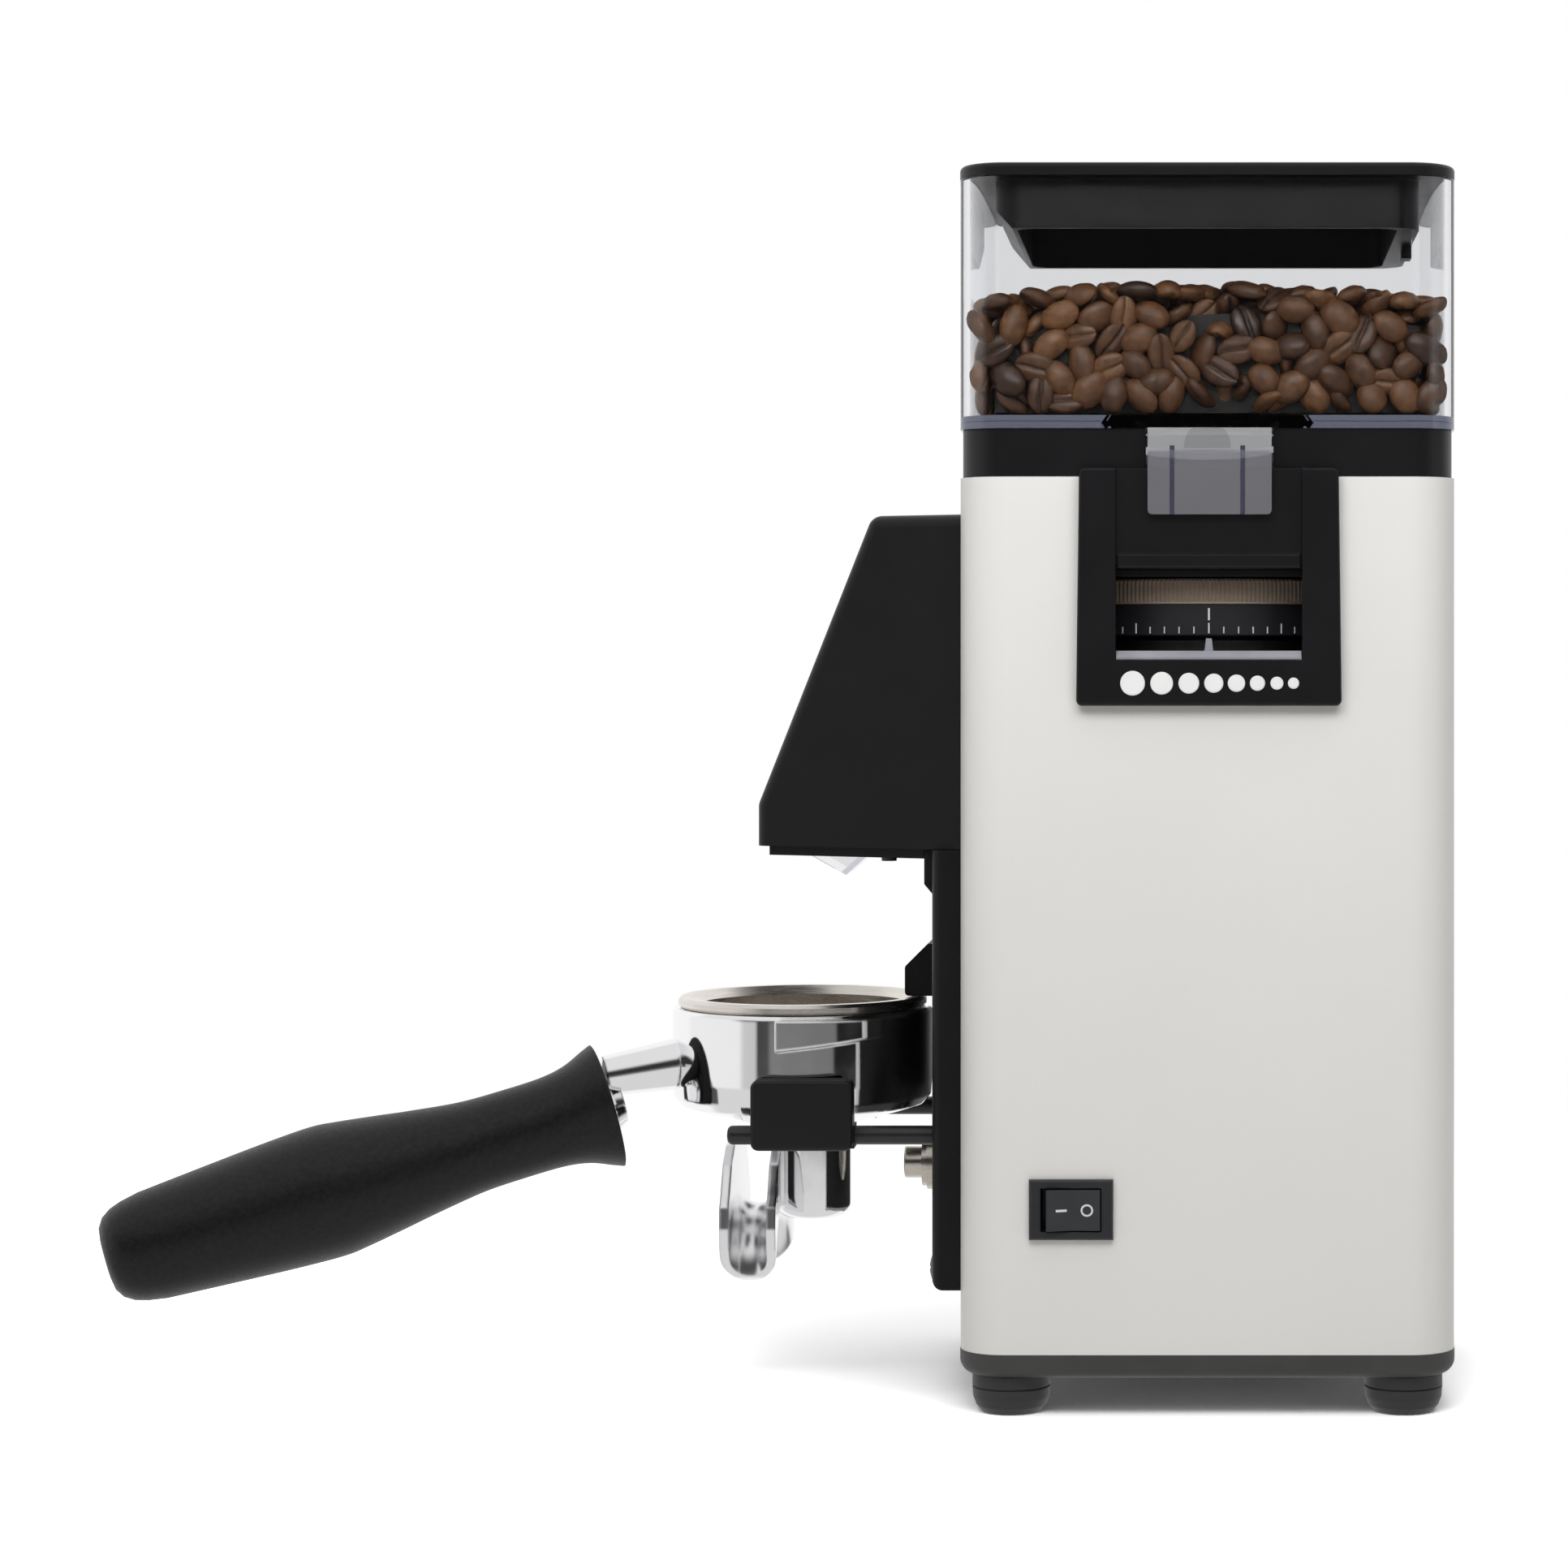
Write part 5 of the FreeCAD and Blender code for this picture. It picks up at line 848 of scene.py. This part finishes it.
def make_scale_marks():
    """White ticks at every division, longer at the numbers and halfway between, and the numbers 0 to 7."""
    low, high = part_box("scale_ring")
    radius = (high.x - low.x) / 2 / MM
    base = low.z / MM + TICK_FOOT
    front = -math.pi / 2
    verts, faces = [], []
    for i in range(DIVISIONS):
        angle = front + SCALE_TURN - 2 * math.pi * i / DIVISIONS
        tall, half = tick_size(i)
        start = len(verts)
        for lift in (0.0, TICK_LIFT):
            for x, z in ((-half, 0), (half, 0), (half, tall), (-half, tall)):
                verts.append(wrap_on_ring(x, base + z, lift, angle, radius))
        faces += [tuple(start + k for k in f) for f in PLATE_FACES]
    ticks = add_mesh("scale_ticks", verts, faces, MATERIALS["white_print"], "adjuster",
                     False)
    face_outward(ticks)
    for number in range(DIVISIONS // DIGIT_STEP):
        shape = digit_mesh(number)
        angle = front + SCALE_TURN - math.radians(DIGIT_PITCH * (number - 1))
        points = [wrap_on_ring(v.co.x, base + DIGIT_FOOT + v.co.y, DIGIT_LIFT + v.co.z, angle, radius)
                  for v in shape.vertices]
        add_mesh(f"scale_digit_{number}", points, [tuple(p.vertices) for p in shape.polygons],
                 MATERIALS["white_print"], "adjuster", False)
        bpy.data.meshes.remove(shape)


# ------------------------------------------------------------------ rocker marks
ROCKER_TILT = math.radians(7.0)
ROCKER_PIVOT_Y = -58.0
ROCKER_FACE_Y = -62.1
ROCKER_SLOPE = 1.3 / 7.15
MARK_LIFT = 0.08
DASH = [(-4.6, -0.32), (-1.6, -0.32), (-1.6, 0.32), (-4.6, 0.32)]
RING_MARK_X = 3.7
RING_MARK_INNER = 1.15
RING_MARK_OUTER = 1.65
RING_MARK_STEPS = 32


def on_rocker(x, z, lift):
    """A point on the rocker's face: x right of the pivot line, z above its centre."""
    low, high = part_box("rocker")
    frame_low, frame_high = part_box("switch_frame")
    centre_x = (frame_low.x + frame_high.x) / 2
    centre_z = (low.z + high.z) / 2
    pivot_y = BODY_Y + ROCKER_PIVOT_Y * MM
    flat_y = ROCKER_FACE_Y - ROCKER_PIVOT_Y - ROCKER_SLOPE * abs(x) - lift
    px = x * math.cos(ROCKER_TILT) - flat_y * math.sin(ROCKER_TILT)
    py = x * math.sin(ROCKER_TILT) + flat_y * math.cos(ROCKER_TILT)
    return Vector((centre_x + px * MM, pivot_y + py * MM, centre_z + z * MM))


def make_rocker_marks():
    """A dash on the left half of the rocker and a ring on the right half."""
    verts = [on_rocker(x, z, lift) for lift in (0.0, MARK_LIFT) for x, z in DASH]
    add_mesh("rocker_dash", verts, PLATE_FACES, MATERIALS["white_print"], "rocker", False)
    outline = ((RING_MARK_INNER, 0.0), (RING_MARK_INNER, MARK_LIFT), (RING_MARK_OUTER, MARK_LIFT),
               (RING_MARK_OUTER, 0.0))
    verts = []
    for i in range(RING_MARK_STEPS):
        angle = 2 * math.pi * i / RING_MARK_STEPS
        for radius, lift in outline:
            verts.append(on_rocker(RING_MARK_X + radius * math.cos(angle), radius * math.sin(angle), lift))
    ring = add_mesh("rocker_ring", verts, hoop_faces(RING_MARK_STEPS, len(outline)),
                    MATERIALS["white_print"], "rocker", False)
    face_outward(ring)


# ------------------------------------------------------------------ portafilter
HANDLE_START_R = 54.8
HANDLE_START_Z = 78.2
HANDLE_SLOPE = math.radians(15.3)
# Outline of the grip from its hollow mouth to its nose: mouth and nose as (radius, along), body as
# (along, radius).
GRIP_MOUTH = [(8.05, 7.0), (8.05, 0.9), (8.6, 0.25), (13.0, 0.0), (16.7, 0.0), (17.35, 0.25)]
GRIP_RADII = [(0.0, 17.6), (3.0, 16.4), (9.0, 13.9), (16.0, 12.7), (27.0, 12.5), (38.6, 12.8), (52.0, 14.5),
              (61.0, 15.9), (72.0, 17.5), (78.6, 18.1), (90.0, 17.6), (104.7, 16.5), (126.0, 14.75)]
GRIP_NOSE = [(13.75, 131.0), (12.7, 134.1), (11.0, 136.6), (8.6, 138.1), (5.4, 138.6), (0.0, 138.7)]


def cup_frame():
    """Local frame of the portafilter: Z along its axis, handle along -X."""
    place = Matrix.Translation(Vector((CUP_X, CUP_Y, 0)))
    return place @ Matrix.Rotation(HANDLE_YAW, 4, "Z") @ Matrix.Scale(MM, 4)


def handle_frame():
    """Local frame of the grip: Z along its axis, away from the cup."""
    lay = Matrix.Rotation(-math.pi / 2 - HANDLE_SLOPE, 4, "Y")
    return cup_frame() @ Matrix.Translation(Vector((-HANDLE_START_R, 0, HANDLE_START_Z))) @ lay


def make_handle():
    """The grip: a hollow mouth, a waisted body curved through its radii, and a rounded nose."""
    body = [(v.y, v.x) for v in smooth_curve([(along, radius, 0) for along, radius in GRIP_RADII], 6)]
    verts, faces = turned(GRIP_MOUTH + body[1:] + GRIP_NOSE, 96)
    handle = add_mesh("grip", placed(verts, handle_frame()), faces, MATERIALS["handle_black"],
                      "portafilter")
    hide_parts("portafilter_handle")
    face_outward(handle)


# ------------------------------------------------------------------ stage, light and camera, in metres
FLOOR_HALF = 6.0
FLOOR_DROP = 0.0002
FLOOR_SEEN = (0.96, 0.96, 0.96)
FLOOR_LIT = (0.72, 0.715, 0.70)
FLOOR_FADE = (0.45, 0.85)


def make_floor():
    """White sweep: bright to the eye, a pale floor to what it lights, and left out of mirror images."""
    mesh = bpy.data.meshes.new("floor")
    corners = [(-FLOOR_HALF, -FLOOR_HALF, 0), (FLOOR_HALF, -FLOOR_HALF, 0), (FLOOR_HALF, FLOOR_HALF, 0),
               (-FLOOR_HALF, FLOOR_HALF, 0)]
    mesh.from_pydata(corners, [], [(0, 1, 2, 3)])
    floor = bpy.data.objects.new("floor", mesh)
    bpy.context.scene.collection.objects.link(floor)
    mat = bpy.data.materials.new("studio_floor")
    mat.use_nodes = True
    tree = mat.node_tree
    tree.nodes.clear()
    near = tree.nodes.new("ShaderNodeAddShader")
    for k in range(2):
        tree.links.new(matt(tree, FLOOR_SEEN), near.inputs[k])
    white = tree.nodes.new("ShaderNodeEmission")
    coords = tree.nodes.new("ShaderNodeTexCoord")
    reach = tree.nodes.new("ShaderNodeVectorMath")
    reach.operation = "LENGTH"
    tree.links.new(coords.outputs["Object"], reach.inputs[0])
    fade = smooth_step(tree, reach.outputs["Value"], *FLOOR_FADE)
    seen = mix_shader(tree, fade, near.outputs["Shader"], white.outputs["Emission"])
    path = tree.nodes.new("ShaderNodeLightPath")
    solid = mix_shader(tree, path.outputs["Is Camera Ray"], matt(tree, FLOOR_LIT), seen)
    clear = tree.nodes.new("ShaderNodeBsdfTransparent")
    surface = mix_shader(tree, path.outputs["Is Glossy Ray"], solid, clear.outputs["BSDF"])
    output = tree.nodes.new("ShaderNodeOutputMaterial")
    tree.links.new(surface, output.inputs["Surface"])
    mesh.materials.append(mat)
    floor.location.z = -FLOOR_DROP


def make_light(name, place, target, size, size_y, power):
    data = bpy.data.lights.new(name, "AREA")
    data.shape = "RECTANGLE"
    data.size = size
    data.size_y = size_y
    data.energy = power
    lamp = bpy.data.objects.new(name, data)
    lamp.location = place
    lamp.rotation_euler = (Vector(target) - Vector(place)).to_track_quat("-Z", "Y").to_euler()
    lamp.visible_glossy = False
    bpy.context.scene.collection.objects.link(lamp)
    return lamp


# What polished metal sees round the horizon: degrees from the -Y side (+ towards +X), brightness.
WALLS = ((-180, 0.95), (-52, 0.90), (-47, 0.62), (-36, 0.58), (-34, 0.06), (-25, 0.07), (-22, 0.20),
         (32, 0.17), (34, 0.012), (57, 0.012), (59, 0.90), (76, 0.90), (80, 0.45), (180, 0.95))
# A dark room above the horizon on the -Y side, then a bright ceiling, a worktop and a white backdrop.
UPPER_DARK = 0.035
CEILING = 0.80
WORKTOP = 0.72
# Where each one starts and is complete: a height, a depth, or a share of the way towards -Y or +Y.
UPPER_TURN = (0.45, 0.65)
UPPER_HEIGHT = (-0.01, 0.03)
CEILING_HEIGHT = (0.35, 0.60)
WORKTOP_DEPTH = (0.122, 0.134)
BACKDROP_TURN = (0.30, 0.45)
# Soft light on matt surfaces, from below and from above.
DIFFUSE_LOW = 0.170
DIFFUSE_HIGH = 0.325
DIFFUSE_HEIGHT = (-0.2, 0.9)


def make_world():
    """White backdrop and soft even light; in reflections, a studio with dark flats and a bright ceiling."""
    world = bpy.data.worlds.new("studio")
    world.use_nodes = True
    tree = world.node_tree
    tree.nodes.clear()
    x, y, z = xyz_of(tree, "Generated")
    forward = math_node(tree, "MULTIPLY", y, -1.0)
    downward = math_node(tree, "MULTIPLY", z, -1.0)
    azimuth = math_node(tree, "ARCTAN2", x, forward)
    turn = math_node(tree, "ADD", math_node(tree, "DIVIDE", azimuth, 2 * math.pi), 0.5)
    ramp = tree.nodes.new("ShaderNodeValToRGB")
    fill_ramp(ramp, [(degrees / 360 + 0.5, (level, level, level)) for degrees, level in WALLS])
    tree.links.new(turn, ramp.inputs["Fac"])
    upper = math_node(tree, "MULTIPLY", smooth_step(tree, forward, *UPPER_TURN),
                      smooth_step(tree, z, *UPPER_HEIGHT))
    room = mix_colour(tree, upper, ramp.outputs["Color"], UPPER_DARK)
    room = mix_colour(tree, smooth_step(tree, z, *CEILING_HEIGHT), room, CEILING)
    room = mix_colour(tree, smooth_step(tree, downward, *WORKTOP_DEPTH), room, WORKTOP)
    room = mix_colour(tree, smooth_step(tree, y, *BACKDROP_TURN), room, 1.0)
    glow = mix_colour(tree, smooth_step(tree, z, *DIFFUSE_HEIGHT), DIFFUSE_LOW, DIFFUSE_HIGH)
    path = tree.nodes.new("ShaderNodeLightPath")
    light = mix_colour(tree, path.outputs["Is Glossy Ray"], glow, room)
    light = mix_colour(tree, path.outputs["Is Camera Ray"], light, 1.0)
    background = tree.nodes.new("ShaderNodeBackground")
    output = tree.nodes.new("ShaderNodeOutputWorld")
    tree.links.new(light, background.inputs["Color"])
    tree.links.new(background.outputs["Background"], output.inputs["Surface"])
    bpy.context.scene.world = world


def make_lights():
    aim = spot(-20, 0, 220)
    make_light("key_front", spot(-350, -900, 900), aim, 0.9, 0.7, 2.3)
    make_light("top_soft", spot(-50, -60, 1100), aim, 1.4, 1.0, 5.2)
    make_light("upper_fill", spot(0, -420, 480), spot(0, -56, 250), 0.5, 0.2, 1.35)


CAMERA_DISTANCE = 1.038
CAMERA_HEIGHT = 0.2003
LENS = 84.5
SENSOR = 36.0
SHIFT_X = -0.270
SHIFT_Y = -0.0756


def make_camera():
    """Level and square to the machine's side; the frame is shifted to take in the handle on the left."""
    data = bpy.data.cameras.new("camera")
    data.lens = LENS
    data.sensor_width = SENSOR
    data.sensor_fit = "HORIZONTAL"
    data.shift_x = SHIFT_X
    data.shift_y = SHIFT_Y
    data.clip_start = 0.05
    data.clip_end = 30.0
    camera = bpy.data.objects.new("camera", data)
    bpy.context.scene.collection.objects.link(camera)
    camera.location = Vector((BODY_X, BODY_Y - CAMERA_DISTANCE, CAMERA_HEIGHT))
    camera.rotation_euler = (math.pi / 2, 0.0, 0.0)
    bpy.context.scene.camera = camera


def main():
    dress_cad_nodes()
    make_beans()
    make_bean_core()
    make_knurled_ring()
    make_scale_marks()
    make_rocker_marks()
    make_handle()
    make_floor()
    make_world()
    make_lights()
    make_camera()
    scene = bpy.context.scene
    scene.view_settings.view_transform = "Standard"
    scene.view_settings.look = "None"


main()
